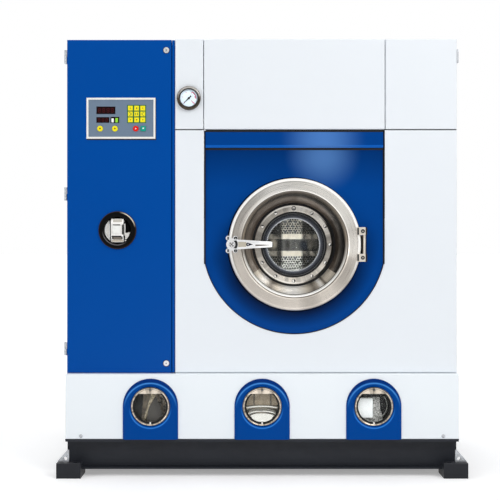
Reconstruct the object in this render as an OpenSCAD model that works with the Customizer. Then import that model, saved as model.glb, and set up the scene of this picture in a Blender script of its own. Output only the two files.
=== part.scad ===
// Dry cleaning machine: a closed solvent machine with a loading door, a control cabinet and
// three tanks behind sight glasses in its base.
//
// Frame: +X to the right of someone who faces the front, +Y to the rear, +Z up. The origin is on
// the floor, midway between the four anchor holes of the feet. All sizes are in millimetres.
//
// The main form that takes the most skill is the loading door: a spun steel ring with a rolled
// edge and a deep cone, which carries the clamped glass, the hinge knuckles and the lever handle,
// and swings clear of the mouths of the tub and the perforated drum behind it.

/* [Cabinet] */
// Width of the cabinet over its side panels
body_w = 1640; // [1600:10:1760]
// Depth of the cabinet from the front panels to the rear panel
body_d = 1050; // [1030:10:1160]
// Height of the top of the cabinet above the floor
body_top = 1830; // [1800:10:1920]
// Height of the top of the lower casing
casing_top = 426; // [418:2:440]
// How far the lower casing stands in front of the panels above it
casing_step = 37; // [30:1:45]
// Depth of the folded edges of the panels
panel_t = 22; // [20:1:24]
// Thickness of the sheet metal
sheet_t = 2; // [1.5:0.1:2.5]
// Outer radius of a fold in the sheet metal
fold_r = 4; // [3:0.5:6]
// Gap between neighbouring panels
seam = 3; // [2:0.5:4]
// Height of the header row of front panels
header_h = 383; // [370:1:390]
// Section of the square frame tube
tube_w = 40; // [36:1:44]
// Wall of the square frame tube
tube_wall = 3; // [2:0.5:4]

/* [Base] */
// Height of the base channels
channel_h = 120; // [110:2:130]
// Width of the channel flanges
channel_w = 55; // [50:1:60]
// Thickness of the channel webs and flanges
channel_t = 6; // [5:0.5:8]
// Thickness of the deck plate on the channels
deck_t = 5; // [4:0.5:8]
// Height of the pads of the feet, under the channels
foot_pad_h = 30; // [25:1:35]
// Height of the outer blocks of the feet
foot_h = 63; // [58:1:70]
// Width of a foot
foot_w = 101; // [90:1:120]
// How far a foot stands out past the side of the cabinet
foot_out = 30; // [24:1:36]
// Length of the outer block of a foot, from front to back
foot_block = 46; // [42:1:52]
// Radius of the anchor hole in a foot
anchor_r = 9; // [7:0.5:11]
// Distance of an anchor hole from the side of the cabinet, inwards
anchor_in = 45; // [42:1:56]
// Radius of the hole in a lashing lug
lug_hole_r = 7; // [5:0.5:8]

/* [Sight windows] */
// Distance between neighbouring sight windows
window_pitch = 465; // [450:1:480]
// Height of the sight windows' centres
window_z = 292; // [288:1:298]
// Outer radius of a sight window's steel ring
window_ring_r = 79.5; // [76:0.5:84]
// Radius of the clear glass of a sight window
window_clear_r = 72; // [68:0.5:74]
// Outer radius of the arched surround
arch_r = 115; // [112:1:119]
// Thickness of the arched surround
arch_t = 14; // [10:1:18]

/* [Control cabinet] */
// Width of the control door
control_w = 439; // [430:1:450]
// Width of the post beside the control door
post_w = 10; // [8:1:14]
// Depth of the control cabinet behind its door
control_d = 230; // [200:5:260]
// Distance of the operating panel's centre from the left side
panel_in = 228; // [215:1:235]
// Distance of the operating panel's centre from the top of the cabinet
panel_down = 334; // [300:2:380]
// Width of the operating panel
panel_w = 289; // [280:1:300]
// Height of the operating panel
panel_h = 172; // [168:1:180]
// Radius of the round push buttons
button_r = 12; // [11:0.5:13]
// Travel of a push button
button_travel = 2; // [1.5:0.1:2.5]
// Distance of the door latch's centre from the left side
latch_in = 213; // [205:1:225]
// Height of the door latch's centre
latch_z = 1026; // [1000:2:1060]
// Outer radius of the door latch's bezel
latch_r = 79.5; // [76:0.5:84]
// Radius of the door latch's dish
dish_r = 57; // [54:0.5:60]

/* [Loading door] */
// Height of the door's centre on the front panel, as a share of that panel's height
door_share = 0.528; // [0.52:0.001:0.536]
// Outer radius of the door ring
ring_r = 276; // [270:1:282]
// Radius of the rolled edge of the door ring
roll_r = 12; // [10:0.5:14]
// Inner radius of the door ring's front face
face_r = 228; // [224:1:232]
// Radius of the door's cone at its front
cone_front_r = 214; // [210:1:216]
// Radius of the door's cone at its rear
cone_rear_r = 178; // [174:1:180]
// How far the door ring stands in front of the front panels
ring_proud = 50; // [45:1:55]
// Depth of the window frame behind the face of the door ring
cone_depth = 116; // [108:1:118]
// Thickness of the spun steel of the door
spun_t = 3; // [2.5:0.1:3.5]
// Outer radius of the window frame
flange_r = 168; // [164:1:169]
// Inner radius of the window frame
flange_in_r = 141; // [138:1:143]
// Number of screws in the window frame
flange_screws = 12; // [8:1:16]
// Depth of the glass bowl
bowl_depth = 46; // [36:1:48]
// Distance of the hinge axis from the door's centre
hinge_off = 291; // [290:1:296]
// Radius of the hinge pin
hinge_pin_r = 5; // [4:0.5:6]
// Length of the handle lever from its pivot to its tip
handle_l = 167; // [150:1:175]
// Distance of the handle's pivot from the door's centre
handle_off = 262; // [258:1:264]
// Height of the boss that holds the handle off the ring
handle_stand = 26; // [22:1:30]

/* [Recess round the door] */
// Half width of the opening in the front panel
recess_half = 380; // [374:1:386]
// Radius of the rounded bottom of the opening
recess_r = 391; // [388:1:396]
// Gap round the surround in that opening
recess_gap = 7; // [5:0.5:9]
// How far the surround lies behind the front panels
recess_depth = 14; // [12:1:16]
// Height of the lintel over the surround
lintel_h = 66; // [60:1:74]

/* [Drum and drive] */
// Radius of the drum
drum_r = 385; // [370:1:390]
// Depth of the drum
drum_d = 392; // [370:2:400]
// Radius of the drum's mouth
mouth_r = 200; // [198:1:206]
// Space between the drum and the tub, all round
tub_gap = 45; // [40:1:48]
// Height of the lifters in the drum
lifter_h = 60; // [50:1:66]
// Rows of holes round the drum's shell
shell_rows = 6; // [4:1:7]
// Radius of the holes in the drum
perf_r = 5; // [4:0.5:6]
// Distance between the rings of holes in the drum's back
perf_pitch = 22; // [20:1:24]
// Number of those rings
perf_rings = 8; // [5:1:9]
// Radius of the drum shaft
shaft_r = 25; // [22:0.5:28]
// Radius of the drum's belt pulley
pulley_r = 220; // [200:2:230]
// Radius of the motor's belt pulley
motor_pulley_r = 50; // [44:1:56]
// Width of the belt
belt_w = 40; // [34:1:44]
// Thickness of the belt
belt_t = 6; // [5:0.5:8]
// Distance of the motor's axis from the right side
motor_in = 220; // [210:5:260]
// Radius of the motor's case
motor_r = 92; // [84:1:96]
// Length of the motor
motor_l = 264; // [240:4:280]
// Radius of the bearing housing's flange
bearing_r = 150; // [140:2:160]

/* [Solvent and air] */
// Depth of the solvent tanks
tank_d = 447; // [420:1:470]
// Radius of the still
still_r = 190; // [170:2:200]
// Height of the still's vessel
still_h = 592; // [540:4:640]
// Distance of the air duct's top from the top of the cabinet
duct_drop = 110; // [80:5:120]

/* [Gauge] */
// Width of the panel with the gauge
gauge_panel_w = 118; // [112:1:126]
// Distance of the gauge's centre from the side of the control post
gauge_in = 58; // [56:1:60]
// Height of the gauge's centre above the joint under the header row
gauge_up = 133; // [120:1:180]
// Outer radius of the gauge's bezel
gauge_r = 50; // [46:1:52]

/* [Hidden] */
$fn = 96;

run_clear = 0.05;   // radial clearance of a running fit
gap = 0.5;          // clearance between pieces of different bodies
side = body_w / 2;
front = -body_d / 2;
rear = body_d / 2;
casing_front = front - casing_step;
channel_top = foot_pad_h + channel_h;
deck_top = channel_top + deck_t;
panel_back = front + panel_t;
flange_tip = casing_front + 2;          // front edge of the channel flanges
web_front = flange_tip + channel_w;
foot_front = flange_tip - 3 - foot_block;
anchor_y = foot_front + foot_block / 2;
anchor_x = side - anchor_in;
header_z = body_top - header_h;          // the joint under the header row
gauge_z = header_z + gauge_up;
panel_z = body_top - panel_down;
panel_bottom = casing_top + 2;
control_right = -side + 1 + control_w;
post_left = control_right + seam;
post_right = post_left + post_w;
white_left = post_right + 2;
recess_left = white_left + gauge_panel_w + seam;
recess_right = recess_left + 2 * recess_half;
door_x = recess_left + recess_half;
door_z = panel_bottom + round(door_share * (header_z - panel_bottom));
tub_r = drum_r + tub_gap;
surround_y = front + recess_depth;
ring_y = front - ring_proud;
ring_back = surround_y - 2;
arch_bevel = 12;
surround_front = casing_front - arch_t;
ring_front = surround_front - 1;
rail_top = casing_top - 2;
tank_top = rail_top - tube_w - 4;
tank_front = casing_front + sheet_t + 8;
tank_rear = tank_front + tank_d;
pump_x = -40;
still_x = -side + 100 + still_r;
still_y = rear - 100 - still_r;
wall = 3;           // walls of the vessels and the duct
frame_out = side - panel_t + 2;          // outer face of the frame's uprights
control_left = -frame_out + tube_w + 1;
control_top = body_top - panel_t - tube_w - 2;
seal_r = cone_front_r - 8;
glass_r = 160;
handle_pivot = [door_x - handle_off, door_z];
lever_pin = [front + 4, latch_z + 38];
flange_y = ring_y + cone_depth;
glass_y = flange_y + 8;
hinge_x = door_x + hinge_off;
hinge_y = ring_y + 15;
hinge_block_h = 33;
hinge_barrel_half = 38.5;
tub_front = panel_back + 25;
drum_front = tub_front + 46;
drum_rear = drum_front + drum_d;
tub_rear = drum_rear + 70;
bearing_rear = tub_rear + 140;
pulley_y = bearing_rear + 15;
motor_x = side - motor_in;
motor_z = deck_top + motor_r + 18;
panel_x = -side + panel_in;
latch_x = -side + latch_in;
gauge_x = white_left + gauge_in;
dial_r = gauge_r - 10.5;                 // radius of the dial, inside the bezel's thick rim
window_hole_r = window_ring_r + 2;
control_back = panel_back + control_d;
window_xs = [-window_pitch, 0, window_pitch];
hinge_zs = [body_top - 75, (body_top + panel_bottom) / 2 + 50, panel_bottom + 100];
door_pin = [-side - 6, front + 8];
lock_x = control_right - 22;
lock_zs = [body_top - 48, panel_bottom + 39];

// ---- helpers -------------------------------------------------------------------------------

// A block between two values along each axis.
module span(x, y, z)
  translate([x[0], y[0], z[0]]) cube([x[1] - x[0], y[1] - y[0], z[1] - z[0]]);

// A flat outline in X and Z, as thick as y says.
module along_y(y)
  translate([0, y[1], 0]) rotate([90, 0, 0]) linear_extrude(y[1] - y[0]) children();

// A flat outline with its first axis up and its second to the rear, as long as x says.
module along_x(x)
  translate([x[1], 0, 0]) rotate([0, -90, 0]) linear_extrude(x[1] - x[0]) children();

// Round bars along each axis, at the place p in the other two.
module bar_x(p, r, x) translate([x[0], p[0], p[1]]) rotate([0, 90, 0]) cylinder(r = r, h = x[1] - x[0]);
module bar_y(p, r, y) translate([p[0], y[0], p[1]]) rotate([-90, 0, 0]) cylinder(r = r, h = y[1] - y[0]);
module bar_z(p, r, z) translate([p[0], p[1], z[0]]) cylinder(r = r, h = z[1] - z[0]);

// A profile of radius and Y, turned about an axis along Y through p.
module turned(p) translate([p[0], 0, p[1]]) rotate([-90, 0, 0]) rotate_extrude() children();

// A ring along Y.
module ring(p, r_in, r_out, y) difference() {
  bar_y(p, r_out, y);
  bar_y(p, r_in, [y[0] - 1, y[1] + 1]);
}

// Points of an arc.
function arc(c, r, a0, a1, n) =
  [for (i = [0:n]) let (a = a0 + (a1 - a0) * i / n) [c[0] + r * cos(a), c[1] + r * sin(a)]];

// The section of a folded panel: the two front corners rounded.
module fold_section(a, y) {
  translate([a[0], y[0] + fold_r]) square([a[1] - a[0], y[1] - y[0] - fold_r]);
  translate([a[0] + fold_r, y[0]]) square([a[1] - a[0] - 2 * fold_r, y[1] - y[0]]);
  for (c = [a[0] + fold_r, a[1] - fold_r]) translate([c, y[0] + fold_r]) circle(fold_r, $fn = 32);
}

// A closed block with the outside of a folded panel.
module panel_block(x, y, z) intersection() {
  translate([0, 0, z[0]]) linear_extrude(z[1] - z[0]) fold_section(x, y);
  along_x(x) fold_section(z, y);
}

// A sheet metal panel with folded edges, open at the back.
module pan(x, y, z) difference() {
  panel_block(x, y, z);
  span([x[0] + sheet_t, x[1] - sheet_t], [y[0] + sheet_t, y[1] + 1], [z[0] + sheet_t, z[1] - sheet_t]);
}

// Copies at the four corners of the base.
module four_corners() for (mx = [0, 1], my = [0, 1]) mirror([mx, 0, 0]) mirror([0, my, 0]) children();

// ---- base ----------------------------------------------------------------------------------

// A channel along X with its flanges to the front, its web's face at y.
module base_channel(x, y) difference() {
  span(x, [y - channel_w, y + channel_t], [foot_pad_h, channel_top]);
  span([x[0] - 1, x[1] + 1], [y - channel_w - 1, y], [foot_pad_h + channel_t, channel_top - channel_t]);
}

module base_frame() color([0.18, 0.19, 0.22]) {
  web = -web_front;
  for (m = [0, 1]) mirror([0, m, 0]) base_channel([-side, side], -web);
  for (m = [0, 1]) mirror([m, 0, 0]) difference() {
    span([side - channel_w, side - 4], [-web + channel_t, web - channel_t], [foot_pad_h, channel_top]);
    span([side - channel_w - 1, side - 4 - channel_t], [-web, web],
         [foot_pad_h + channel_t, channel_top - channel_t]);
  }
  for (x = [-window_pitch / 2, window_pitch / 2])
    span([x - channel_t, x + channel_t], [-web + channel_t, web - channel_t], [foot_pad_h, channel_top]);
  span([-side - 1, side + 1], [flange_tip, -flange_tip], [channel_top, deck_top]);
}

module foot() {
  x = [side + foot_out - foot_w, side + foot_out];
  difference() {
    union() {
      // the block in front of the channel, its top edges bevelled
      along_x(x) polygon([[0, foot_front], [foot_h - 3, foot_front], [foot_h, foot_front + 3],
        [foot_h, foot_front + foot_block], [0, foot_front + foot_block]]);
      span(x, [foot_front + foot_block - 1, web_front + 25], [0, foot_pad_h]);
    }
    bar_z([anchor_x, anchor_y], anchor_r, [-1, foot_h + 1]);
  }
}

module feet() color([0.20, 0.21, 0.24]) four_corners() foot();

// A three-cornered plate that stands on a foot, with a hole for a lashing hook.
module lashing_lugs() color([0.72, 0.74, 0.76]) four_corners() {
  out = side + foot_out;
  along_y([foot_front + foot_block - 14, foot_front + foot_block - 4]) difference() {
    polygon([[out - 1, foot_h], [out - 1, foot_h + 4], [out - 40, foot_h + 49],
      [out - 48, foot_h + 49], [out - 48, foot_h]]);
    translate([out - 33, foot_h + 14]) circle(lug_hole_r);
  }
}

// ---- lower casing and sight windows --------------------------------------------------------

module lower_casing() color([0.93, 0.95, 0.97]) difference() {
  panel_block([-side, side], [casing_front, rear - panel_t], [deck_top, casing_top]);
  // hollow, open at the rear and below, with a ledge along its top front edge
  span([-side + sheet_t, side - sheet_t], [casing_front + sheet_t, rear + 1],
       [deck_top - 1, casing_top - sheet_t]);
  span([-frame_out, frame_out], [panel_back, rear + 1], [deck_top, casing_top + 1]);
  for (x = window_xs) bar_y([x, window_z], window_hole_r, [casing_front - 1, casing_front + 5]);
  for (m = [-1, 1]) bar_y([m * (side - 65), deck_top + 13], 3.2, [casing_front - 1, casing_front + 5]);
}

// An arched plate with bevelled edges, straight down to the deck, round each window.
module sight_surrounds() color([0.02, 0.27, 0.60]) for (x = window_xs) translate([x, 0, 0])
  difference() {
    union() {
      turned([0, window_z]) polygon([[0, casing_front], [arch_r, casing_front], [arch_r, casing_front - 4],
        [arch_r - arch_bevel, surround_front], [0, surround_front]]);
      translate([0, 0, deck_top]) linear_extrude(window_z - deck_top) polygon([
        [-arch_r, casing_front], [-arch_r, casing_front - 4], [-arch_r + arch_bevel, surround_front],
        [arch_r - arch_bevel, surround_front], [arch_r, casing_front - 4], [arch_r, casing_front]]);
    }
    bar_y([0, window_z], window_hole_r, [surround_front - 1, casing_front + 1]);
    // the dished seat round the steel ring
    turned([0, window_z]) polygon([[window_hole_r - 1, surround_front - 1],
      [window_hole_r + 10, surround_front - 1], [window_hole_r + 8, surround_front + 1],
      [window_hole_r, surround_front + 5], [window_hole_r - 1, surround_front + 5]]);
  }

module sight_rings() color([0.75, 0.74, 0.71]) for (x = window_xs) {
  p = [x, window_z];
  turned(p) polygon(concat(
    [[window_ring_r, ring_front + 16], [window_ring_r, ring_front + 3]],
    arc([window_ring_r - 3, ring_front + 3], 3, 0, -90, 4),
    [[window_clear_r + 2, ring_front + 1], [window_clear_r, ring_front + 4],
     [window_clear_r, ring_front + 16]]));
  // the flat plate over the top of the glass, and its screw
  intersection() {
    bar_y(p, window_clear_r + 1, [ring_front + 5, ring_front + 8]);
    span([x - window_ring_r, x + window_ring_r], [ring_front, ring_front + 10],
         [window_z + 53, window_z + window_ring_r]);
  }
  bar_y([x, window_z + 63], 4, [ring_front + 3, ring_front + 5]);
  // a small screw at the bottom of the ring
  bar_y([x, window_z - window_clear_r - 3.5], 2, [ring_front - 1, ring_front + 2]);
}

module sight_glasses() color([0.75, 0.85, 0.88, 0.35]) for (x = window_xs)
  bar_y([x, window_z], window_ring_r, [ring_front + 16, ring_front + 22]);

// Three tanks in one row. Each has a round bottom and a wall in front with a hole for its glass.
module solvent_tanks() color([0.70, 0.70, 0.68]) for (x = window_xs) {
  half = window_pitch / 2 - 15;
  y = [tank_front, tank_rear];
  z = [deck_top, tank_top];
  difference() {
    span([x - half, x + half], y, z);
    intersection() {
      span([x - half + 3, x + half - 3], [y[0] + 3, y[1] - 3], [z[0] + 3, z[1] - 3]);
      union() {
        span([x - half, x + half], y, [window_z, z[1]]);
        translate([x, 0, z[0] + 3 + 340]) rotate([-90, 0, 0])
          translate([0, 0, y[0]]) cylinder(r = 340, h = y[1] - y[0]);
      }
    }
    bar_y([x, window_z], window_clear_r - 4, [y[0] - 1, y[0] + 4]);
  }
  // the neck from the tank to the glass
  ring([x, window_z], window_clear_r - 4, window_clear_r, [ring_front + 22, y[0]]);
}

// ---- cabinet -------------------------------------------------------------------------------

// A hollow square tube along axis a (0, 1 or 2), open at its ends.
module tube(a, x, y, z) difference() {
  span(x, y, z);
  w = [for (i = [0:2]) i == a ? -1 : tube_wall];
  span([x[0] + w[0], x[1] - w[0]], [y[0] + w[1], y[1] - w[1]], [z[0] + w[2], z[1] - w[2]]);
}

// The welded frame: four corner posts, a post beside the control cabinet and the rails.
module cabinet_frame() color([0.45, 0.47, 0.50]) {
  left = [-frame_out, -frame_out + tube_w];
  right = [frame_out - tube_w, frame_out];
  middle = [white_left, white_left + tube_w];
  near = [panel_back, panel_back + tube_w];
  far = [rear - panel_t - tube_w, rear - panel_t];
  top = [body_top - panel_t - tube_w, body_top - panel_t];
  low = [rail_top - tube_w, rail_top];
  for (x = [left, right], y = [near, far]) tube(2, x, y, [deck_top, top[0]]);
  tube(2, middle, near, [low[1], top[0]]);
  tube(0, [middle[0], right[1]], near, top);
  // over the control cabinet the rail is set back, to leave room for the upper lock
  tube(0, [left[0], middle[0]], [near[0] + 14, near[1] + 14], top);
  tube(0, [left[0], right[1]], far, top);
  for (x = [left, right]) tube(1, x, [near[1] + 14, far[0]], top);
  for (y = [near, far]) tube(0, [left[1], right[0]], y, low);
}

module side_panels() color([0.92, 0.94, 0.96]) for (m = [0, 1]) mirror([m, 0, 0])
  difference() {
    rotate([0, 0, 90])
      pan([panel_back + 1, rear - panel_t - 1], [-side, -side + panel_t - 2],
          [panel_bottom, body_top - panel_t]);
    // finger holes at the foot of the panel, for lifting it off
    for (y = [front + 260, rear - 260])
      bar_x([y, panel_bottom + 60], 14, [side - 5, side + 1]);
  }

module top_panel() color([0.92, 0.94, 0.96])
  translate([0, 0, body_top]) rotate([-90, 0, 0])
    pan([-side + 1, side - 1], [0, panel_t - 1], [panel_back + 1, rear]);

// Slots of one louvre bank, centred on x and z.
module louvre_slots(x, z) for (i = [-4:4])
  span([x - 170, x + 170], [rear - 5, rear + 1], [z + i * 26 - 4, z + i * 26 + 4]);

module rear_panel() color([0.90, 0.92, 0.94]) difference() {
  mirror([0, 1, 0])
    pan([-side + 1, side - 1], [-rear, -rear + panel_t - 1], [deck_top + 1, body_top - panel_t - 1]);
  louvre_slots(-side / 2, body_top - 320);
  louvre_slots(side / 2, body_top - 320);
  louvre_slots(side / 2, casing_top);
}

module gauge_panel() color([0.93, 0.95, 0.97]) difference() {
  pan([white_left, recess_left - seam], [front, panel_back], [header_z + seam, body_top]);
  bar_y([gauge_x, gauge_z], gauge_r - 4, [front - 1, front + 5]);
}

module header_panel() color([0.93, 0.95, 0.97])
  pan([recess_left, recess_right], [front, panel_back], [header_z + seam, body_top]);

module corner_panel() color([0.93, 0.95, 0.97])
  pan([recess_right + seam, side - 1], [front, panel_back], [header_z + seam, body_top]);

// The opening for the door: upright sides and a rounded bottom, made smaller by d.
module recess_outline(d) intersection() {
  union() {
    translate([door_x, door_z + 10]) circle(recess_r - d);
    translate([door_x - recess_half, door_z + 10]) square([2 * recess_half, 1000]);
  }
  translate([door_x - recess_half + d, 0]) square([2 * (recess_half - d), 2000]);
}

module front_panel() color([0.91, 0.94, 0.96]) difference() {
  panel_block([white_left, side - 1], [front, panel_back], [panel_bottom, header_z]);
  difference() {
    span([white_left + sheet_t, side - 1 - sheet_t], [front + sheet_t, panel_back + 1],
         [panel_bottom + sheet_t, header_z - sheet_t]);
    along_y([front, panel_back + 2]) recess_outline(-sheet_t);
  }
  along_y([front - 1, panel_back + 3]) recess_outline(0);
  // softened front edge of the opening
  along_y([front - 1, front + 1]) recess_outline(-1);
}

// The part of the recess that the blue panel takes, made smaller by d.
module surround_outline(d) intersection() {
  recess_outline(d);
  translate([-side, 0]) square([2 * side, header_z - 8]);
}

// The recessed blue panel: a skin on a folded rim, with a flange behind the front panel.
module door_surround() color([0.02, 0.25, 0.56]) difference() {
  union() {
    along_y([surround_y, panel_back + sheet_t]) surround_outline(recess_gap);
    along_y([panel_back, panel_back + sheet_t]) surround_outline(-25);
  }
  along_y([surround_y + sheet_t, panel_back + sheet_t + 1]) difference() {
    surround_outline(recess_gap + sheet_t);
    translate([door_x, door_z]) circle(seal_r + 4 + sheet_t);
  }
  bar_y([door_x, door_z], seal_r + 4, [surround_y - 1, panel_back + 4]);
}

// A folded bar over the surround, its lower lip turned to the rear.
module door_lintel() color([0.04, 0.33, 0.65]) {
  z = [header_z - 8 - lintel_h, header_z - 8];
  along_x([recess_left + recess_gap, recess_right - recess_gap]) polygon([
    [z[0] + 8, front + 2], [z[1] - 2, front + 2], [z[1], front + 4], [z[1], surround_y],
    [z[1] - 2, surround_y], [z[1] - 2, front + 4], [z[0] + 9, front + 4],
    [z[0] + 2, front + 8], [z[0] + 2, surround_y], [z[0], surround_y], [z[0], front + 7]]);
}

module panel_fasteners() color([0.45, 0.46, 0.48]) {
  for (m = [-1, 1]) {
    bar_y([m * (side - 65), deck_top + 13], 3, [casing_front - 1, casing_front + 14]);
    turned([m * (side - 65), deck_top + 13]) polygon([[0, casing_front], [8, casing_front],
      [7.5, casing_front - 1.5], [5, casing_front - 3.5], [0, casing_front - 4]]);
  }
  // the clip that holds the side panel, near the top of the right side
  span([side, side + 7], [front + 2, front + 26], [body_top - 99, body_top - 43]);
  // screws of the rear panel
  for (x = [-side + 30, 0, side - 30], z = [deck_top + 60, body_top / 2, body_top - 70])
    bar_y([x, z], 6, [rear, rear + 3]);
}

// ---- control cabinet ------------------------------------------------------------------------

module control_cabinet() color([0.03, 0.27, 0.60]) difference() {
  union() {
    span([control_left, post_right], [panel_back, control_back], [rail_top, control_top]);
    // the post that shows beside the door
    span([post_left, post_right], [front, panel_back + 1], [panel_bottom + 1, body_top - 6]);
  }
  span([control_left + sheet_t, post_left], [panel_back - 1, control_back - sheet_t],
       [rail_top + sheet_t, control_top - sheet_t]);
  // the post is a folded hollow section
  span([post_left + sheet_t, post_right - sheet_t], [front + sheet_t, control_back - sheet_t],
       [panel_bottom, body_top]);
  // slots in the post for the cams of the two locks, and a notch that clears the upper one
  for (z = lock_zs)
    span([post_left - 1, post_left + sheet_t + 1], [panel_back - 6, panel_back + 12], [z - 19, z + 14]);
  span([lock_x - 15, post_left], [panel_back - 1, panel_back + 10],
       [control_top - sheet_t - 1, control_top + 1]);
}

// One switching device on a rail, its lower left corner at p.
module contactor(p, w, h, d) {
  y = control_back - sheet_t - 6;
  span([p[0], p[0] + w], [y - d, y], [p[1], p[1] + h]);
  span([p[0] + w * 0.15, p[0] + w * 0.85], [y - d - 14, y - d], [p[1] + h * 0.25, p[1] + h * 0.75]);
}

module electrical_gear() color([0.55, 0.56, 0.58]) {
  margin = control_w * 0.06;
  x0 = control_left + margin;
  pitch = (post_left - margin - x0) / 5.6;
  y = control_back - sheet_t;
  span([x0, post_left - margin], [y - 3, y], [panel_bottom + 2 * margin, body_top - 3 * margin]);
  for (row = [0:3]) {
    z = panel_bottom + 200 + row * 270;
    span([x0 + 10, post_left - margin - 10], [y - 6, y - 3], [z, z + 35]);
    for (i = [0:4])
      contactor([x0 + 15 + i * pitch, z - 25], pitch * (0.7 + 0.15 * (i % 2)), 85, control_d * 0.3);
  }
}

// The fixed halves of the control door's hinges, with their pins.
module cabinet_hinge_leaves() color([0.74, 0.76, 0.78]) for (z = hinge_zs) {
  bar_z(door_pin, 3, [z - 26, z + 26]);
  bar_z(door_pin, 6, [z - 28, z - gap]);
  // the leaf on the side panel
  span([-side - 2.5, -side], [door_pin[1] + 16, door_pin[1] + 52], [z - 28, z - gap]);
  span([-side - 8, -side - 2.5], [door_pin[1] + 4, door_pin[1] + 20], [z - 28, z - gap]);
}

// The moving halves of those hinges, on the edge of the door.
module door_hinge_leaves() color([0.74, 0.76, 0.78]) for (z = hinge_zs) {
  difference() {
    union() {
      bar_z(door_pin, 6, [z + gap, z + 28]);
      span([-side - 4, -side + 1], [door_pin[1] - 6, door_pin[1] + 6], [z + gap, z + 28]);
    }
    bar_z(door_pin, 3 + run_clear, [z - 1, z + 30]);
  }
}

// ---- gauge ----------------------------------------------------------------------------------

module gauge_case() color([0.68, 0.68, 0.67]) turned([gauge_x, gauge_z]) polygon(concat(
  [[0, panel_back - 1], [0, panel_back - 3], [dial_r, panel_back - 3], [dial_r, front - 12.5]],
  arc([gauge_r - 5, front - 12], 5, 200, 350, 6),
  [[gauge_r, front - 10], [gauge_r, front], [gauge_r - 5, front], [gauge_r - 5, panel_back - 1]]));

module gauge_dial() color([0.96, 0.96, 0.95]) difference() {
  bar_y([gauge_x, gauge_z], dial_r, [front - 5, front - 3]);
  bar_y([gauge_x, gauge_z], 2 + run_clear, [front - 6, front - 2]);
}

// A tapered pointer with a round hub, turned to the start of the scale.
module gauge_needle() color([0.05, 0.05, 0.06]) {
  bar_y([gauge_x, gauge_z], 2, [front - 9, front + 2]);
  bar_y([gauge_x, gauge_z], 5, [front - 9, front - 7]);
  translate([gauge_x, 0, gauge_z]) rotate([0, -135, 0])
    along_y([front - 8.5, front - 7]) polygon([[-2.4, 0], [-0.9, gauge_r * 0.62], [0.9, gauge_r * 0.62],
      [2.4, 0], [1.8, -gauge_r * 0.12], [2.9, -gauge_r * 0.26], [-2.9, -gauge_r * 0.26],
      [-1.8, -gauge_r * 0.12]]);
}

// ---- tub, drum and drive ---------------------------------------------------------------------

module outer_tub() color([0.66, 0.66, 0.64]) {
  c = [door_x, door_z];
  difference() {
    turned(c) polygon([[seal_r, tub_front - 22], [seal_r + 3, tub_front - 22], [seal_r + 3, tub_front],
      [tub_r, tub_front], [tub_r, tub_rear], [shaft_r + 25, tub_rear], [shaft_r + 25, tub_rear - 4],
      [tub_r - 3, tub_rear - 4], [tub_r - 3, tub_front + 3], [seal_r, tub_front + 3]]);
    // air outlet at the top and drain at the bottom
    span([door_x - 150, door_x + 150], [drum_front + 60, drum_front + 260],
         [door_z + tub_r - 120, door_z + tub_r + 10]);
    bar_z([door_x, drum_front + 200], 38, [door_z - tub_r - 10, door_z - tub_r + 60]);
  }
  // drain spout, and the two brackets that carry the tub on the frame's rail
  difference() {
    bar_z([door_x, drum_front + 200], 41, [casing_top + 12, door_z - tub_r + 12]);
    bar_z([door_x, drum_front + 200], 38, [casing_top, door_z - tub_r + 30]);
    bar_y(c, tub_r, [tub_front, tub_rear]);
  }
  for (m = [-1, 1]) difference() {
    span([door_x + m * 260 - 20, door_x + m * 260 + 20], [tub_front, tub_front + 30],
         [rail_top, door_z - 250]);
    bar_y(c, tub_r, [tub_front - 1, tub_rear]);
  }
}

module door_seal() color([0.06, 0.06, 0.06]) turned([door_x, door_z])
  polygon([[seal_r, tub_front - 24], [seal_r - 7, tub_front - 25], [seal_r - 12, tub_front - 7],
    [seal_r - 9, tub_front - 5], [seal_r, tub_front - 10]]);

module bearing_housing() color([0.35, 0.37, 0.40]) let (neck_r = bearing_r * 0.43) difference() {
  union() {
    turned([door_x, door_z]) polygon([[shaft_r + run_clear, tub_rear], [bearing_r, tub_rear],
      [bearing_r, tub_rear + 14], [neck_r + 16, tub_rear + 24], [neck_r, bearing_rear - 20],
      [neck_r + 6, bearing_rear - 20], [neck_r + 6, bearing_rear], [shaft_r + run_clear, bearing_rear]]);
    // six ribs from the flange to the barrel
    for (a = [0:60:300]) translate([door_x, 0, door_z]) rotate([0, a, 0]) along_x([-4, 4])
      polygon([[neck_r - 4, tub_rear + 10], [bearing_r - 5, tub_rear + 10], [neck_r - 2, bearing_rear - 22]]);
  }
  for (a = [30:60:330]) translate([door_x, 0, door_z]) rotate([0, a, 0])
    bar_y([0, bearing_r - 20], 7, [tub_rear - 1, tub_rear + 25]);
}

module drum_cage() color([0.72, 0.71, 0.68]) {
  c = [door_x, door_z];
  // front plate with a rolled lip, and the shell with its rows of holes between the lifters
  difference() {
    turned(c) polygon(concat(
      [[mouth_r + 5, drum_front + 3], [mouth_r + 5, drum_front + 10]],
      arc([mouth_r + 2.5, drum_front + 10], 2.5, 0, 180, 6),
      [[mouth_r, drum_front], [drum_r, drum_front], [drum_r, drum_rear - 4], [drum_r - 3, drum_rear - 4],
       [drum_r - 3, drum_front + 3]]));
    for (row = [0:shell_rows - 1], sector = [0:120:240], k = [0:8])
      translate([door_x, drum_front + (row + 0.5) * drum_d / shell_rows, door_z])
        rotate([0, sector + 20 + k * 9 + (row % 2) * 4.5, 0])
          translate([0, 0, drum_r - 6]) cylinder(r = perf_r, h = 10);
  }
  // three lifters with rounded crests
  for (a = [60:120:300]) intersection() {
    translate([door_x, 0, door_z]) rotate([0, a, 0]) along_y([drum_front + 1, drum_rear - 12])
      polygon(concat([[-55, drum_r + 5], [55, drum_r + 5]], arc([0, crest], crest_r, -15, -165, 8)));
    bar_y(c, drum_r - 1, [drum_front - 1, drum_rear]);
  }
}

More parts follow.
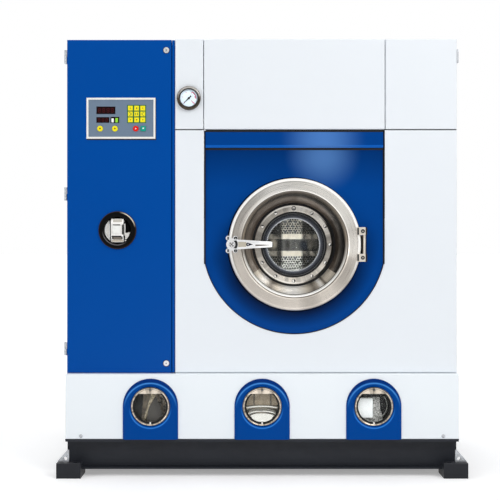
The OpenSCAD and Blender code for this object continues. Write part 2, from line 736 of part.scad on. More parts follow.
crest_r = 18;
crest = drum_r - spun_t - lifter_h + crest_r;

// The drum's back: a plate pierced by rings of holes, with a raised box rib across it.
module drum_back() color([0.70, 0.69, 0.66]) {
  y = [drum_rear - 4, drum_rear];
  rib = 50;
  difference() {
    bar_y([door_x, door_z], drum_r, y);
    for (k = [1:perf_rings], i = [0:6 * k - 1]) let (r = k * perf_pitch, a = (i + 0.5) * 60 / k)
      if (abs(r * sin(a)) > rib + perf_r + 2)
        bar_y([door_x + r * cos(a), door_z + r * sin(a)], perf_r, [y[0] - 1, y[1] + 1]);
  }
  for (m = [-1, 1])
    span([door_x - drum_r * 0.78, door_x + drum_r * 0.78], [y[0] - 12, y[0]],
         [door_z + m * (rib - 11) - 11, door_z + m * (rib - 11) + 11]);
}

// The shaft with the three-armed spider that carries the drum, and the belt pulley on its end.
module drum_shaft_and_pulley() color([0.50, 0.51, 0.53]) {
  c = [door_x, door_z];
  bar_y(c, shaft_r, [drum_rear + 20, pulley_y + belt_w + 15]);
  turned(c) polygon([[0, drum_rear], [shaft_r * 3, drum_rear], [shaft_r * 2.4, drum_rear + 22],
    [0, drum_rear + 26]]);
  for (a = [0:120:240]) translate([door_x, 0, door_z]) rotate([0, a, 0])
    along_y([drum_rear, drum_rear + 16])
      polygon([[-30, 30], [30, 30], [16, drum_r - 20], [-16, drum_r - 20]]);
  difference() {
    turned(c) polygon([[shaft_r - 1, pulley_y], [2 * shaft_r, pulley_y], [2 * shaft_r, pulley_y + 16],
      [pulley_r - 12, pulley_y + 16], [pulley_r - 12, pulley_y], [pulley_r, pulley_y],
      [pulley_r, pulley_y + belt_w + 6], [pulley_r - 12, pulley_y + belt_w + 6],
      [pulley_r - 12, pulley_y + 26], [2 * shaft_r, pulley_y + 26], [2 * shaft_r, pulley_y + belt_w + 6],
      [shaft_r - 1, pulley_y + belt_w + 6]]);
    for (a = [0:60:300]) translate([door_x, 0, door_z]) rotate([0, a, 0])
      bar_y([0, pulley_r * 0.6], pulley_r * 0.22, [pulley_y, pulley_y + 40]);
  }
}

motor_y = [pulley_y - 16 - motor_l, pulley_y - 16];

module drive_motor() color([0.25, 0.35, 0.45]) {
  c = [motor_x, motor_z];
  difference() {
    union() {
      bar_y(c, motor_r, [motor_y[0] + 40, motor_y[1] - 14]);
      turned(c) polygon([[0, motor_y[0]], [motor_r - 14, motor_y[0]], [motor_r - 6, motor_y[0] + 10],
        [motor_r - 6, motor_y[0] + 40], [0, motor_y[0] + 40]]);
      turned(c) polygon([[0, motor_y[1] - 14], [motor_r - 4, motor_y[1] - 14], [50, motor_y[1]],
        [0, motor_y[1]]]);
      // cooling ribs
      for (a = [20:20:160]) for (s = [1, -1]) translate([motor_x, 0, motor_z]) rotate([0, s * a, 0])
        span([-2, 2], [motor_y[0] + 45, motor_y[1] - 20], [motor_r - 4, motor_r + 9]);
      // feet and terminal box
      for (m = [-1, 1]) span([motor_x + m * 75 - 25, motor_x + m * 75 + 25],
        [motor_y[0] + 60, motor_y[1] - 40], [deck_top, motor_z - 45]);
      span([motor_x - 45, motor_x + 45], [motor_y[0] + 80, motor_y[1] - 80],
        [motor_z + motor_r - 10, motor_z + motor_r + 38]);
    }
    bar_y(c, 14 + run_clear, [motor_y[1] - 60, motor_y[1] + 1]);
  }
}

module motor_pulley() color([0.52, 0.53, 0.55]) {
  c = [motor_x, motor_z];
  bar_y(c, 14, [motor_y[1] - 58, pulley_y + belt_w + 12]);
  turned(c) polygon([[13, pulley_y], [motor_pulley_r + 5, pulley_y], [motor_pulley_r + 5, pulley_y + 2],
    [motor_pulley_r, pulley_y + 3], [motor_pulley_r, pulley_y + belt_w + 3],
    [motor_pulley_r + 5, pulley_y + belt_w + 4], [motor_pulley_r + 5, pulley_y + belt_w + 6],
    [13, pulley_y + belt_w + 6]]);
}

// A block with the outline of an open belt round the two pulleys, grown by d. Its straight runs
// meet the discs a hair below their rims, so that they cross them cleanly.
module belt_block(d, y) {
  a = [door_x, door_z];
  b = [motor_x, motor_z];
  ra = pulley_r + d;
  rb = motor_pulley_r + d;
  dip = 0.02;
  dir = atan2(b[1] - a[1], b[0] - a[0]);
  lean = acos((ra - rb) / norm(b - a));
  bar_y(a, ra, y);
  bar_y(b, rb, y);
  along_y(y) polygon([for (t = [[a, ra, 1], [b, rb, 1], [b, rb, -1], [a, ra, -1]])
    t[0] + (t[1] - dip) * [cos(dir + t[2] * lean), sin(dir + t[2] * lean)]]);
}

module drive_belt() color([0.08, 0.08, 0.08]) difference() {
  belt_block(0.3 + belt_t, [pulley_y + 3.3, pulley_y + 2.7 + belt_w]);
  belt_block(0.3, [pulley_y, pulley_y + belt_w + 6]);
}

// ---- solvent and air ------------------------------------------------------------------------

// The pump behind the middle tank: suction pipe, volute, motor, pressure pipe and feet.
module solvent_pump() color([0.30, 0.42, 0.50]) {
  z = deck_top + 95;
  c = [pump_x, z];
  y = tank_rear + 70;
  bar_y(c, 24, [tank_rear, y]);
  bar_y(c, 88, [y, y + 60]);
  bar_y(c, 62, [y + 60, y + 250]);
  bar_y(c, 66, [y + 90, y + 220]);
  difference() {
    union() {
      bar_z([pump_x + 60, y + 30], 22, [z, z + 170]);
      bar_z([pump_x + 60, y + 30], 38, [z + 158, z + 170]);
    }
    bar_z([pump_x + 60, y + 30], 17, [z + 100, z + 171]);
  }
  for (at = [y + 95, y + 190]) span([pump_x - 55, pump_x + 55], [at, at + 25], [deck_top, z - 40]);
  span([pump_x - 50, pump_x + 50], [y + 10, y + 50], [deck_top, z - 70]);
}

// A round vessel on four legs, with a dished bottom and top, a pipe and a cleaning cover.
module still() color([0.68, 0.68, 0.66]) {
  z = deck_top + 60;
  leg = 30;
  cover_r = still_r * 0.5;
  cover_z = z + still_h * 0.42;
  difference() {
    union() {
      translate([still_x, still_y, 0]) rotate_extrude() polygon(still_profile(z, still_r, still_r * 0.24, 0));
      translate([still_x, still_y, cover_z]) rotate([90, 0, 0]) cylinder(r = cover_r + 5, h = still_r + 12);
      for (a = [45:90:315]) translate([still_x, still_y, 0]) rotate([0, 0, a])
        span([still_r - leg - 4, still_r - 4], [-leg / 2, leg / 2], [deck_top, z + leg * 2.3]);
    }
    translate([still_x, still_y, 0]) rotate_extrude()
      polygon(still_profile(z, still_r - wall, still_r * 0.24 - 4, wall));
    translate([still_x, still_y, cover_z]) rotate([90, 0, 0]) cylinder(r = cover_r, h = still_r + 13);
  }
  // the cover's lid
  translate([still_x, still_y - still_r - 12, cover_z]) rotate([90, 0, 0]) cylinder(r = cover_r + 17, h = 14);
}

// Radius and height of the still's wall from the bottom up, moved inwards by d, with its pipe.
function still_profile(z, r, pipe, d) = let (dish = still_r * 0.3, top = z + still_h) [
  [0, z + d], [r * 0.63, z + 0.2 * dish + d], [r * 0.93, z + 0.6 * dish + d], [r, z + 1.2 * dish],
  [r, top - 1.2 * dish], [r * 0.93, top - 0.6 * dish - d], [r * 0.63, top - 0.2 * dish - d],
  [pipe, top - d], [pipe, top + 0.46 * still_r + d], [0, top + 0.46 * still_r + d]];

// The recovery duct: from the tub's top outlet up, back through the cooler, and the fan's scroll.
module air_duct() color([0.62, 0.64, 0.66]) {
  tub_top = door_z + tub_r;
  top = body_top - duct_drop;
  cooler = tub_top + 0.22 * (top - tub_top);
  fan_r = 0.45 * (top - tub_top);
  fan = [drum_front + 160, top - fan_r - 4];
  y = [drum_front + 60, drum_front + 260];
  x1 = [door_x - 150, door_x + 150];
  x2 = [door_x - 220, door_x + 220];
  difference() {
    union() {
      span(x1, y, [tub_top - 40, top]);
      span(x2, [y[1], rear - 120], [cooler, top]);
      bar_x(fan, fan_r, [x1[1], x1[1] + 180]);
    }
    bar_y([door_x, door_z], tub_r, [tub_front, tub_rear]);
    span([x1[0] + wall, x1[1] - wall], [y[0] + wall, y[1] + wall + 1], [tub_top - 50, top - wall]);
    span([x2[0] + wall, x2[1] - wall], [y[1] + wall, rear - 120 - wall], [cooler + wall, top - wall]);
    bar_x(fan, fan_r - wall, [x1[1] - 10, x1[1] + 180 - wall]);
  }
  // the fan's motor
  bar_x(fan, fan_r * 0.48, [x1[1] + 180, x1[1] + 350]);
}

// ---- control door ----------------------------------------------------------------------------

door_t = panel_t - 2;
door_skin = front + sheet_t;

module control_door() color([0.02, 0.28, 0.61]) difference() {
  union() {
    pan([-side + 1, control_right], [front, front + door_t], [panel_bottom - 1, body_top - 4]);
    // bosses behind the skin for the two locks
    for (z = lock_zs) bar_y([lock_x, z], 14, [door_skin - 1, front + 12]);
  }
  span([panel_x - panel_w / 2 + 4, panel_x + panel_w / 2 - 4], [front - 1, door_skin + 1],
       [panel_z - panel_h / 2 + 4, panel_z + panel_h / 2 - 4]);
  bar_y([latch_x, latch_z], dish_r + 4, [front - 1, door_skin + 1]);
  for (z = lock_zs) bar_y([lock_x, z], 9, [front - 1, front + 13]);
}

// The white frame round the operating panel, with a ledge that carries the plate.
module panel_frame() color([0.95, 0.95, 0.93]) difference() {
  w = panel_w / 2;
  h = panel_h / 2;
  union() {
    panel_plate(w, h, [front - 4, front]);
    panel_plate(w - 4.5, h - 4.5, [front - 1, front + 10]);
  }
  panel_plate(w - 8, h - 8, [front - 5, front + 6]);
  panel_plate(w - 13, h - 13, [front - 5, front + 11]);
}

// A rectangle with half sides w and h about the panel's centre.
module panel_plate(w, h, y) span([panel_x - w, panel_x + w], y, [panel_z - h, panel_z + h]);

// Places on the operating panel, from its centre.
display_upper = [-63.5, 33.5, 80, 32];
display_lower = [-76, -7, 55, 24];
lamp_window = [-26, -7, 37, 26];
keypad_place = [65.5, 18, 80, 76];
button_places = [[-88, -43.5], [-25.5, -43.5], [62, -43.5], [93.5, -43.5]];
teal_half = 11;

// A rectangle of the operating panel from its centre and size, made larger by d.
module panel_area(a, d, y) translate([panel_x + a[0], 0, panel_z + a[1]])
  span([-a[2] / 2 - d, a[2] / 2 + d], y, [-a[3] / 2 - d, a[3] / 2 + d]);

plate_y = [front - 1.5, front + 6];

module control_plate() color([0.45, 0.52, 0.60]) difference() {
  panel_plate(panel_w / 2 - 8.3, panel_h / 2 - 8.3, plate_y);
  // pocket behind, which leaves a thin front
  panel_plate(panel_w / 2 - 12, panel_h / 2 - 12, [plate_y[0] + 3, plate_y[1] + 1]);
  through = [plate_y[0] - 1, plate_y[0] + 4];
  for (a = [display_upper, display_lower, lamp_window, keypad_place]) panel_area(a, 0, through);
  for (i = [0:2]) bar_y(button_centre(i), button_r + gap, through);
  panel_area(concat(button_places[3], [2 * teal_half, 2 * teal_half]), gap, through);
}

function button_centre(i) = [panel_x + button_places[i][0], panel_z + button_places[i][1]];

module display_windows() color([0.16, 0.03, 0.04])
  for (a = [display_upper, display_lower, lamp_window]) {
    panel_area(a, 0, [plate_y[0] + 0.4, plate_y[0] + 3]);
    panel_area(a, 1.5, [plate_y[0] + 3, plate_y[0] + 5]);
  }

// Nine raised key fields on one rubber mat.
module keypad() color([0.90, 0.85, 0.10]) {
  panel_area(keypad_place, 0, [plate_y[0], plate_y[0] + 3]);
  panel_area(keypad_place, 2, [plate_y[0] + 3, plate_y[0] + 5]);
  for (i = [-1:1], j = [-1:1])
    panel_area([keypad_place[0] + i * 26, keypad_place[1] + j * 24.5, 20, 20], 0,
      [plate_y[0] - 1, plate_y[0] + 1]);
}

// A round cap with a softened edge, on a stem that is wider behind the plate.
module round_button(i) {
  c = button_centre(i);
  turned(c) polygon(concat(
    [[0, plate_y[0] - 4]], arc([button_r - 2, plate_y[0] - 2], 2, -90, 0, 4),
    [[button_r, plate_y[0] + 3 + gap], [button_r + 3, plate_y[0] + 3 + gap],
     [button_r + 3, plate_y[0] + 5], [0, plate_y[0] + 5]]));
}

module button_yellow_left() color([0.95, 0.85, 0.05]) round_button(0);
module button_yellow_right() color([0.95, 0.85, 0.05]) round_button(1);
module button_red() color([0.85, 0.08, 0.08]) round_button(2);

module button_teal() color([0.05, 0.60, 0.52]) {
  c = button_places[3];
  size = 2 * teal_half;
  panel_area([c[0], c[1], size - 2, size - 2], 0, [plate_y[0] - 3, plate_y[0] - 2]);
  panel_area([c[0], c[1], size, size], 0, [plate_y[0] - 2, plate_y[0] + 4]);
  panel_area([c[0], c[1], size, size], 2, [plate_y[0] + 3 + gap, plate_y[0] + 5]);
}

// ---- latch and locks of the control door ------------------------------------------------------

module latch_bezel() color([0.05, 0.05, 0.05]) {
  turned([latch_x, latch_z]) polygon(concat(
    [[0, front + 26], [0, front + 24], [dish_r - 10, front + 24], [dish_r, front + 14], [dish_r, front - 5]],
    arc([dish_r + 4, front - 5], 4, 180, 270, 4),
    arc([latch_r - 6, front - 3], 6, -90, 0, 5),
    [[latch_r, front], [dish_r + 3, front], [dish_r + 3, front + 16], [dish_r - 8, front + 26]]));
  // ears that carry the lever's pin
  for (m = [-1, 1]) difference() {
    span([latch_x + m * 31 - 2, latch_x + m * 31 + 2], [front - 4, front + 24], [latch_z + 28, latch_z + 44]);
    bar_x([lever_pin[0], lever_pin[1]], 3 + run_clear, [latch_x - 40, latch_x + 40]);
  }
}

// A bow-shaped lever on a pin: it slopes out of the dish, runs flat and slopes back in.
module latch_lever() color([0.80, 0.80, 0.80]) {
  half = 26;
  bar_x(lever_pin, 3, [latch_x - 33, latch_x + 33]);
  difference() {
    along_x([latch_x - half, latch_x + half]) translate([latch_z, front])
      polygon([[49, -1], [46, -4], [30, -13], [24, -15], [-18, -15], [-23, -13], [-40, -1], [-50, 2],
        [-50, 5], [-39, 4], [-21, -8], [-17, -10], [20, -10], [30, -3], [31, 8], [44, 8], [49, 3]]);
    // the hollow that the fingers find from the sides
    span([latch_x - half + 4, latch_x + half - 4], [front - 10.5, front + 6], [latch_z - 38, latch_z + 20]);
  }
}

module cam_lock(z) {
  turned([lock_x, z]) polygon([[0, front - 4], [10, front - 4], [12, front - 2], [12, front - gap],
    [9 - run_clear, front - gap], [9 - run_clear, front + 14], [6, front + 14], [6, front + 24],
    [0, front + 24]]);
  // the cam, hanging down when the lock is open
  along_y([front + 24, front + 28]) {
    translate([lock_x, z]) circle(9);
    translate([lock_x - 7, z - 29]) square([14, 29]);
  }
}

module lock_upper() color([0.78, 0.78, 0.78]) cam_lock(lock_zs[0]);
module lock_lower() color([0.78, 0.78, 0.78]) cam_lock(lock_zs[1]);

// ---- loading door ----------------------------------------------------------------------------

// The spun ring: rolled edge, flat face, step, deep cone and the seat of the glass.
module door_ring() color([0.78, 0.76, 0.73]) difference() {
  turned([door_x, door_z]) polygon(concat(
    // outside, from the rear edge round the rolled edge to the face
    [[ring_r, ring_back], [ring_r, ring_y + roll_r]],
    arc([ring_r - roll_r, ring_y + roll_r], roll_r, 0, -90, 8),
    [[face_r, ring_y], [face_r - 5, ring_y + 3], [face_r - 7, ring_y + 7], [cone_front_r, ring_y + 9],
     [cone_rear_r, flange_y + 2], [cone_rear_r, glass_y + 6], [150, glass_y + 6], [150, glass_y + 6 + spun_t],
     [cone_rear_r + spun_t, glass_y + 6 + spun_t], [cone_rear_r + spun_t, flange_y + 2],
     [cone_front_r + spun_t, ring_y + 9 + spun_t], [face_r - 6 + spun_t, ring_y + 7 + spun_t],
     [face_r, ring_y + spun_t]],
    arc([ring_r - roll_r, ring_y + roll_r], roll_r - spun_t, -90, 0, 8),
    [[ring_r - spun_t, ring_back]]));
  bar_y(handle_pivot, 8 + run_clear, [ring_y - 1, ring_y + 10]);
}

// The clamping frame of the glass, with countersunk holes.
module window_flange() color([0.80, 0.78, 0.75]) difference() {
  turned([door_x, door_z]) polygon([[flange_in_r, flange_y + 6], [flange_in_r, flange_y + 1.5],
    [flange_in_r + 2, flange_y], [flange_r - 2, flange_y], [flange_r, flange_y + 1.5],
    [flange_r, flange_y + 6]]);
  for (i = [0:flange_screws - 1]) bar_y(flange_screw(i), 3, [flange_y - 1, flange_y + 7]);
}

function flange_screw(i) = [door_x + (flange_r + flange_in_r) / 2 * sin(i * 360 / flange_screws),
                            door_z + (flange_r + flange_in_r) / 2 * cos(i * 360 / flange_screws)];

// The black rubber: one ring between cone and frame, one round the glass.
module window_gaskets() color([0.04, 0.04, 0.04]) turned([door_x, door_z]) {
  polygon([[flange_r, flange_y + 6], [flange_r, flange_y + 4], [flange_r + 3, flange_y + 2],
    [cone_rear_r, flange_y + 3], [cone_rear_r, glass_y + 6], [glass_r, glass_y + 6],
    [glass_r, glass_y - 2]]);
  polygon([[flange_in_r, flange_y + 6], [flange_in_r, flange_y + 2], [flange_in_r - 4, flange_y + 1],
    [flange_in_r - 8, flange_y + 6], [flange_in_r - 8, glass_y], [glass_r, glass_y], [glass_r, glass_y - 2]]);
}

module window_screws() color([0.70, 0.70, 0.70]) for (i = [0:flange_screws - 1])
  turned(flange_screw(i)) polygon([[0, flange_y - 3.5], [3.5, flange_y - 3.2], [6.2, flange_y - 1.5],
    [6.5, flange_y], [3, flange_y], [3, flange_y + 6], [0, flange_y + 6]]);

// A pressed glass bowl with a flat rim.
module door_glass() color([0.70, 0.78, 0.80, 0.3]) turned([door_x, door_z]) polygon([
  [glass_r, glass_y], [flange_in_r - 8, glass_y], [flange_in_r - 14, glass_y + 5],
  [flange_in_r - 26, glass_y + bowl_depth - 8], [flange_in_r - 32, glass_y + bowl_depth - 6],
  [0, glass_y + bowl_depth - 4], [0, glass_y + bowl_depth + 2],
  [flange_in_r - 29, glass_y + bowl_depth],
  [flange_in_r - 21, glass_y + bowl_depth - 5], [flange_in_r - 9, glass_y + 8],
  [flange_in_r - 5, glass_y + 6],
  [glass_r, glass_y + 6]]);

// The fixed barrel of the door hinge on its web, and the catch for the handle's tongue.
module door_hinge_and_catch() color([0.72, 0.71, 0.69]) {
  z = [door_z - hinge_barrel_half, door_z + hinge_barrel_half];
  difference() {
    union() {
      bar_z([hinge_x, hinge_y], 8, z);
      span([hinge_x - 5, hinge_x + 5], [hinge_y + 4, surround_y], [z[0] + 3, z[1] - 3]);
    }
    bar_z([hinge_x, hinge_y], hinge_pin_r + run_clear, [z[0] - 1, z[1] + 1]);
  }
  // an angle with a lip, which the tongue turns under when the handle is swung down
  x = handle_pivot[0];
  span([x + 18, x + 24], [surround_y - 26, surround_y], [door_z - 16, door_z + 16]);
  span([x + 9, x + 24], [surround_y - 26, surround_y - 21], [door_z - 16, door_z + 16]);
}

// The two knuckles on the edge of the ring, and the pin through them.
module door_hinge_knuckles() color([0.80, 0.79, 0.77]) {
  bar_z([hinge_x, hinge_y], hinge_pin_r, [door_z - hinge_barrel_half - hinge_block_h,
    door_z + hinge_barrel_half + hinge_block_h]);
  for (m = [0, 1]) translate([0, 0, door_z]) mirror([0, 0, m]) translate([0, 0, -door_z]) {
    z = [door_z + hinge_barrel_half + gap, door_z + hinge_barrel_half + hinge_block_h];
    difference() {
      union() {
        bar_z([hinge_x, hinge_y], 11, z);
        span([hinge_x - 26, hinge_x], [ring_y - 5, hinge_y + 11], z);
        // the flap that is screwed to the face of the ring
        span([hinge_x - 34, hinge_x], [ring_y - 5, ring_y], [z[0], z[1]]);
      }
      turned([door_x, door_z]) polygon(concat([[ring_r - 40, ring_back + 10], [ring_r, ring_back + 10],
        [ring_r, ring_y + roll_r]], arc([ring_r - roll_r, ring_y + roll_r], roll_r, 0, -90, 8),
        [[ring_r - 40, ring_y]]));
    }
    bar_y([hinge_x - 9, (z[0] + z[1]) / 2], 5, [ring_y - 7, ring_y - 4]);
  }
}

// A plate with four screw ears and a boss for the handle.
module handle_bracket() color([0.82, 0.82, 0.81]) difference() {
  union() {
    for (i = [-1, 1], j = [-1, 1]) {
      bar_y([handle_pivot[0] + i * 15, door_z + j * 26], 10, [ring_y - 8, ring_y]);
      bar_y([handle_pivot[0] + i * 15, door_z + j * 26], 5, [ring_y - 11, ring_y - 7]);
    }
    span([handle_pivot[0] - 15, handle_pivot[0] + 15], [ring_y - 8, ring_y], [door_z - 26, door_z + 26]);
    bar_y(handle_pivot, 19, [ring_y - handle_stand, ring_y]);
  }
  bar_y(handle_pivot, 8 + run_clear, [ring_y - handle_stand - 1, ring_y + 1]);
}

// The lever: a hub, two rails that run together at the tip, a drop-shaped hole and a groove.
module handle_lever() color([0.85, 0.85, 0.85]) {
  y = [ring_y - handle_stand - 17, ring_y - handle_stand - gap];
  p = handle_pivot;
  difference() {
    union() {
      bar_y(p, 22, y);
      along_y([y[0] + 1, y[1] - 3]) translate(p)
        polygon([[2, 21.5], [handle_l - 3, 11], [handle_l, 8], [handle_l, -8],
          [handle_l - 3, -11], [2, -21.5]]);
    }
    // groove between the rails
    along_y([y[0] - 1, y[0] + 5]) translate(p)
      polygon([[26, 15], [handle_l - 8, 5], [handle_l - 8, -5], [26, -15]]);
    // drop-shaped hole
    along_y([y[0] - 1, y[1] + 1]) translate(p) {
      translate([66, 0]) circle(7);
      polygon([[67.5, 6.8], [88, 0], [67.5, -6.8]]);
    }
    // the seat of the screw, cut a little towards the tip
    bar_y(p + [3, 0], 18, [y[0] - 1, y[0] + 5]);
  }
  // screw head in the hub, shaft through the ring and the tongue on its end
  turned(p) polygon([[0, y[0] - 1], [12, y[0] - 1], [14.5, y[0] + 1], [14.5, y[0] + 6], [0, y[0] + 6]]);
  bar_y(p, 8, [y[0] + 5, ring_y + 9]);
  bar_y(p, 6, [ring_y + 8, surround_y - 4]);
  span([p[0] - 5, p[0] + 5], [surround_y - 16, surround_y - 6], [p[1], p[1] + 15]);
}

// ---- what is drawn ---------------------------------------------------------------------------

base_frame();
feet();
lashing_lugs();
lower_casing();
sight_surrounds();
sight_rings();
sight_glasses();
solvent_tanks();
panel_fasteners();
cabinet_frame();
side_panels();
top_panel();
rear_panel();
gauge_panel();
header_panel();
corner_panel();
front_panel();
door_surround();
door_lintel();
control_cabinet();
electrical_gear();
gauge_case();
gauge_dial();
gauge_needle();
outer_tub();
door_seal();
bearing_housing();
door_hinge_and_catch();
cabinet_hinge_leaves();
drive_motor();
drive_belt();
motor_pulley();
solvent_pump();
still();
air_duct();
control_door();
door_hinge_leaves();
panel_frame();
control_plate();
display_windows();
keypad();
latch_bezel();
latch_lever();
lock_upper();
lock_lower();
button_yellow_left();
button_yellow_right();
button_red();
button_teal();
door_ring();
window_flange();
window_gaskets();
window_screws();
door_glass();
door_hinge_knuckles();
handle_bracket();
handle_lever();
drum_cage();
drum_back();
drum_shaft_and_pulley();
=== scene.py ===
# %% [markdown]
# # A dry cleaning machine
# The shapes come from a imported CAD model, which is loaded as a fixed frame. This script gives each
# piece its finish, adds the thin things that a solid model leaves out (dial marks, digits, lenses,
# rubber strips), and sets up the light and the camera. Loading the frame comes first, because every
# later cell measures its places on it instead of repeating numbers.

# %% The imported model
import math

import bmesh
import bpy
from mathutils import Matrix, Vector


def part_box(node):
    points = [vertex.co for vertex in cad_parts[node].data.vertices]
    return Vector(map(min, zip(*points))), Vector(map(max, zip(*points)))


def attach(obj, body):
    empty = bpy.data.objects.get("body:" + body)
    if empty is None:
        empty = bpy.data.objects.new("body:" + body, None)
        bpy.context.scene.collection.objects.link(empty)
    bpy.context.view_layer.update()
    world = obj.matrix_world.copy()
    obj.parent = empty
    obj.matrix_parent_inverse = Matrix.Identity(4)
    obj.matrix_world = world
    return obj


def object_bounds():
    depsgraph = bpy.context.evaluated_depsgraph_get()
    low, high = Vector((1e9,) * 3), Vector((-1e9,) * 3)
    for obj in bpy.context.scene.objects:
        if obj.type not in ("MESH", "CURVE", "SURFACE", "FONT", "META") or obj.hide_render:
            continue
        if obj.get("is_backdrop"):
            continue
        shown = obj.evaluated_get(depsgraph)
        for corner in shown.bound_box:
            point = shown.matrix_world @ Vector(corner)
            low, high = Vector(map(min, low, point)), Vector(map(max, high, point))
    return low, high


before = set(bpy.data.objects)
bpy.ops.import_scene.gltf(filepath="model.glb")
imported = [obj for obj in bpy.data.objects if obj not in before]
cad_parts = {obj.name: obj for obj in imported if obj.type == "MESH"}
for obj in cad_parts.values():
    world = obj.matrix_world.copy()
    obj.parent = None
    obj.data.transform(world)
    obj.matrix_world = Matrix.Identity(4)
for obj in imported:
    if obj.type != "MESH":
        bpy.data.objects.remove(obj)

cad_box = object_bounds()
mm = 0.001
print("pieces of the machine:", len(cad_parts))
print("its size in metres:", [round(v, 3) for v in cad_box[1] - cad_box[0]])

# %% [markdown]
# The loading door, the gauge and the operating panel carry most of the added pieces. The middle of
# a node's box is its centre, so these centres follow the model when it changes.

# %% Centres and faces
def middle(node):
    low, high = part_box(node)
    return (low + high) / 2


def front_of(node):
    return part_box(node)[0].y


def radius_of(node):
    low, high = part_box(node)
    return (high.x - low.x) / 2


door = middle("door_ring")
gauge = middle("gauge_dial")
panel = middle("control_plate")
latch = middle("latch_bezel")
window_pitch = 465 * mm
windows = [middle("sight_surrounds") + Vector((step * window_pitch, 0, 0)) for step in (-1, 0, 1)]
window_z = middle("sight_rings").z
sheet_front = front_of("front_panel")
print("door centre", [round(v, 3) for v in door], "front panel at", round(sheet_front, 3))

# %% [markdown]
# The photograph was taken straight on, from the middle of the picture's height: the left and right
# sides of the machine run parallel, and the underside of nothing shows. So the camera looks exactly
# along Y. Its lens follows from the machine's width in the picture and its depth.

# %% The camera
eye = Vector((-0.0504, -5.125, 0.943))
pixels_per_metre_at_one, picture_width = 1095.24, 500
lens = bpy.data.cameras.new("studio_camera")
lens.sensor_width = 36.0
lens.lens = pixels_per_metre_at_one / picture_width * lens.sensor_width
camera = bpy.data.objects.new("studio_camera", lens)
camera.location = eye
camera.rotation_euler = (math.radians(90), 0, 0)
bpy.context.scene.collection.objects.link(camera)
bpy.context.scene.camera = camera
bpy.context.scene.view_settings.view_transform = "Standard"
print("lens", round(lens.lens, 1), "mm")

# %% [markdown]
# ## Finishes
# A finish is a material built from nodes. Blender's nodes are joined socket to socket, which makes a
# formula of ten steps ten nodes and nine links long. So a wire is defined first: a value on its way
# through the nodes that can be added, multiplied and compared like a number. A mask is such a value,
# 1 on the places meant and 0 elsewhere: `a * b` is where both hold, and `a | b` where either does.

# %% Wires
class Wire:
    """A socket's value. Arithmetic on wires makes Math nodes."""

    def __init__(self, socket):
        self.socket, self.tree = socket, socket.id_data

    def __add__(self, other):
        return maths("ADD", self, other)

    def __sub__(self, other):
        return maths("SUBTRACT", self, other)

    def __rsub__(self, other):
        return maths("SUBTRACT", other, self)

    def __mul__(self, other):
        return maths("MULTIPLY", self, other)

    def __truediv__(self, other):
        return maths("DIVIDE", self, other)

    def __mod__(self, other):
        return maths("MODULO", self, other)

    def __or__(self, other):
        return maths("MAXIMUM", self, other)

    def __abs__(self):
        return maths("ABSOLUTE", self)


def give(value, entry):
    """Joins a wire to a node's input, or writes the value there when it is a constant."""
    if isinstance(value, Wire):
        entry.id_data.links.new(value.socket, entry)
    else:
        entry.default_value = value


def node(tree, kind, **settings):
    """A new node. A setting is one of its own properties or the constant at one of its inputs."""
    made = tree.nodes.new("ShaderNode" + kind)
    for name, value in settings.items():
        key = name.replace("_", " ").title()
        if key in made.inputs and not hasattr(made, name):
            made.inputs[key].default_value = value
        else:
            setattr(made, name, value)
    return made


def maths(operation, *values):
    tree = next(value for value in values if isinstance(value, Wire)).tree
    made = node(tree, "Math", operation=operation)
    for value, entry in zip(values, made.inputs):
        give(value, entry)
    return Wire(made.outputs[0])


print("wires add, subtract, multiply, divide and compare")

# %% [markdown]
# On wires rest the tools that every finish uses: places on the piece, noise, ranges, mixed colours,
# and one call that wires the changing values of a surface. All patterns read Object coordinates,
# which stay with a piece when it moves.

# %% Node helpers
def linear(red, green, blue):
    """A colour as seen on screen, 0 to 255, as the renderer's linear values."""
    def one(v):
        v /= 255
        return v / 12.92 if v <= 0.04045 else ((v + 0.055) / 1.055) ** 2.4
    return (one(red), one(green), one(blue), 1.0)


def times(colour, factor, more=0.0):
    return tuple(min(1.0, c * factor + more) for c in colour[:3]) + (1.0,)


def new_finish(name, colour, rough, metal=0.0, gloss=0.5):
    """A Principled material with its fixed values. Patterns are wired to it afterwards."""
    material = bpy.data.materials.new(name)
    material.use_nodes = True
    material.diffuse_color = colour
    shader = material.node_tree.nodes["Principled BSDF"]
    shader.inputs["Base Color"].default_value = colour
    shader.inputs["Roughness"].default_value = rough
    shader.inputs["Metallic"].default_value = metal
    shader.inputs["Specular IOR Level"].default_value = gloss
    return material, material.node_tree, shader


def surface(shader, tint=None, rough=None, metal=None, bumps=None, depth=0.0):
    """Wires a finish: its colour, roughness and metallic share, and bumps of a depth in metres."""
    for name, wire in (("Base Color", tint), ("Roughness", rough), ("Metallic", metal)):
        if wire is not None:
            give(wire, shader.inputs[name])
    if bumps is not None:
        bump = node(shader.id_data, "Bump", strength=1.0, distance=depth)
        give(bumps, bump.inputs["Height"])
        give(Wire(bump.outputs["Normal"]), shader.inputs["Normal"])


def here(tree):
    return Wire(node(tree, "TexCoord").outputs["Object"])


def coordinates(tree, place=None):
    """X, Y and Z of a point on the piece, as three wires."""
    parts = node(tree, "SeparateXYZ")
    give(place or here(tree), parts.inputs[0])
    return [Wire(output) for output in parts.outputs]


def cloud(tree, scale, detail=3.0, stretch=None, place=None):
    """Soft noise from 0 to 1. stretch makes it long along an axis, as brushing does."""
    place = place or here(tree)
    if stretch:
        mapping = node(tree, "Mapping", scale=stretch)
        give(place, mapping.inputs["Vector"])
        place = Wire(mapping.outputs["Vector"])
    noise = node(tree, "TexNoise", scale=scale, detail=detail)
    give(place, noise.inputs["Vector"])
    return Wire(noise.outputs["Fac"])


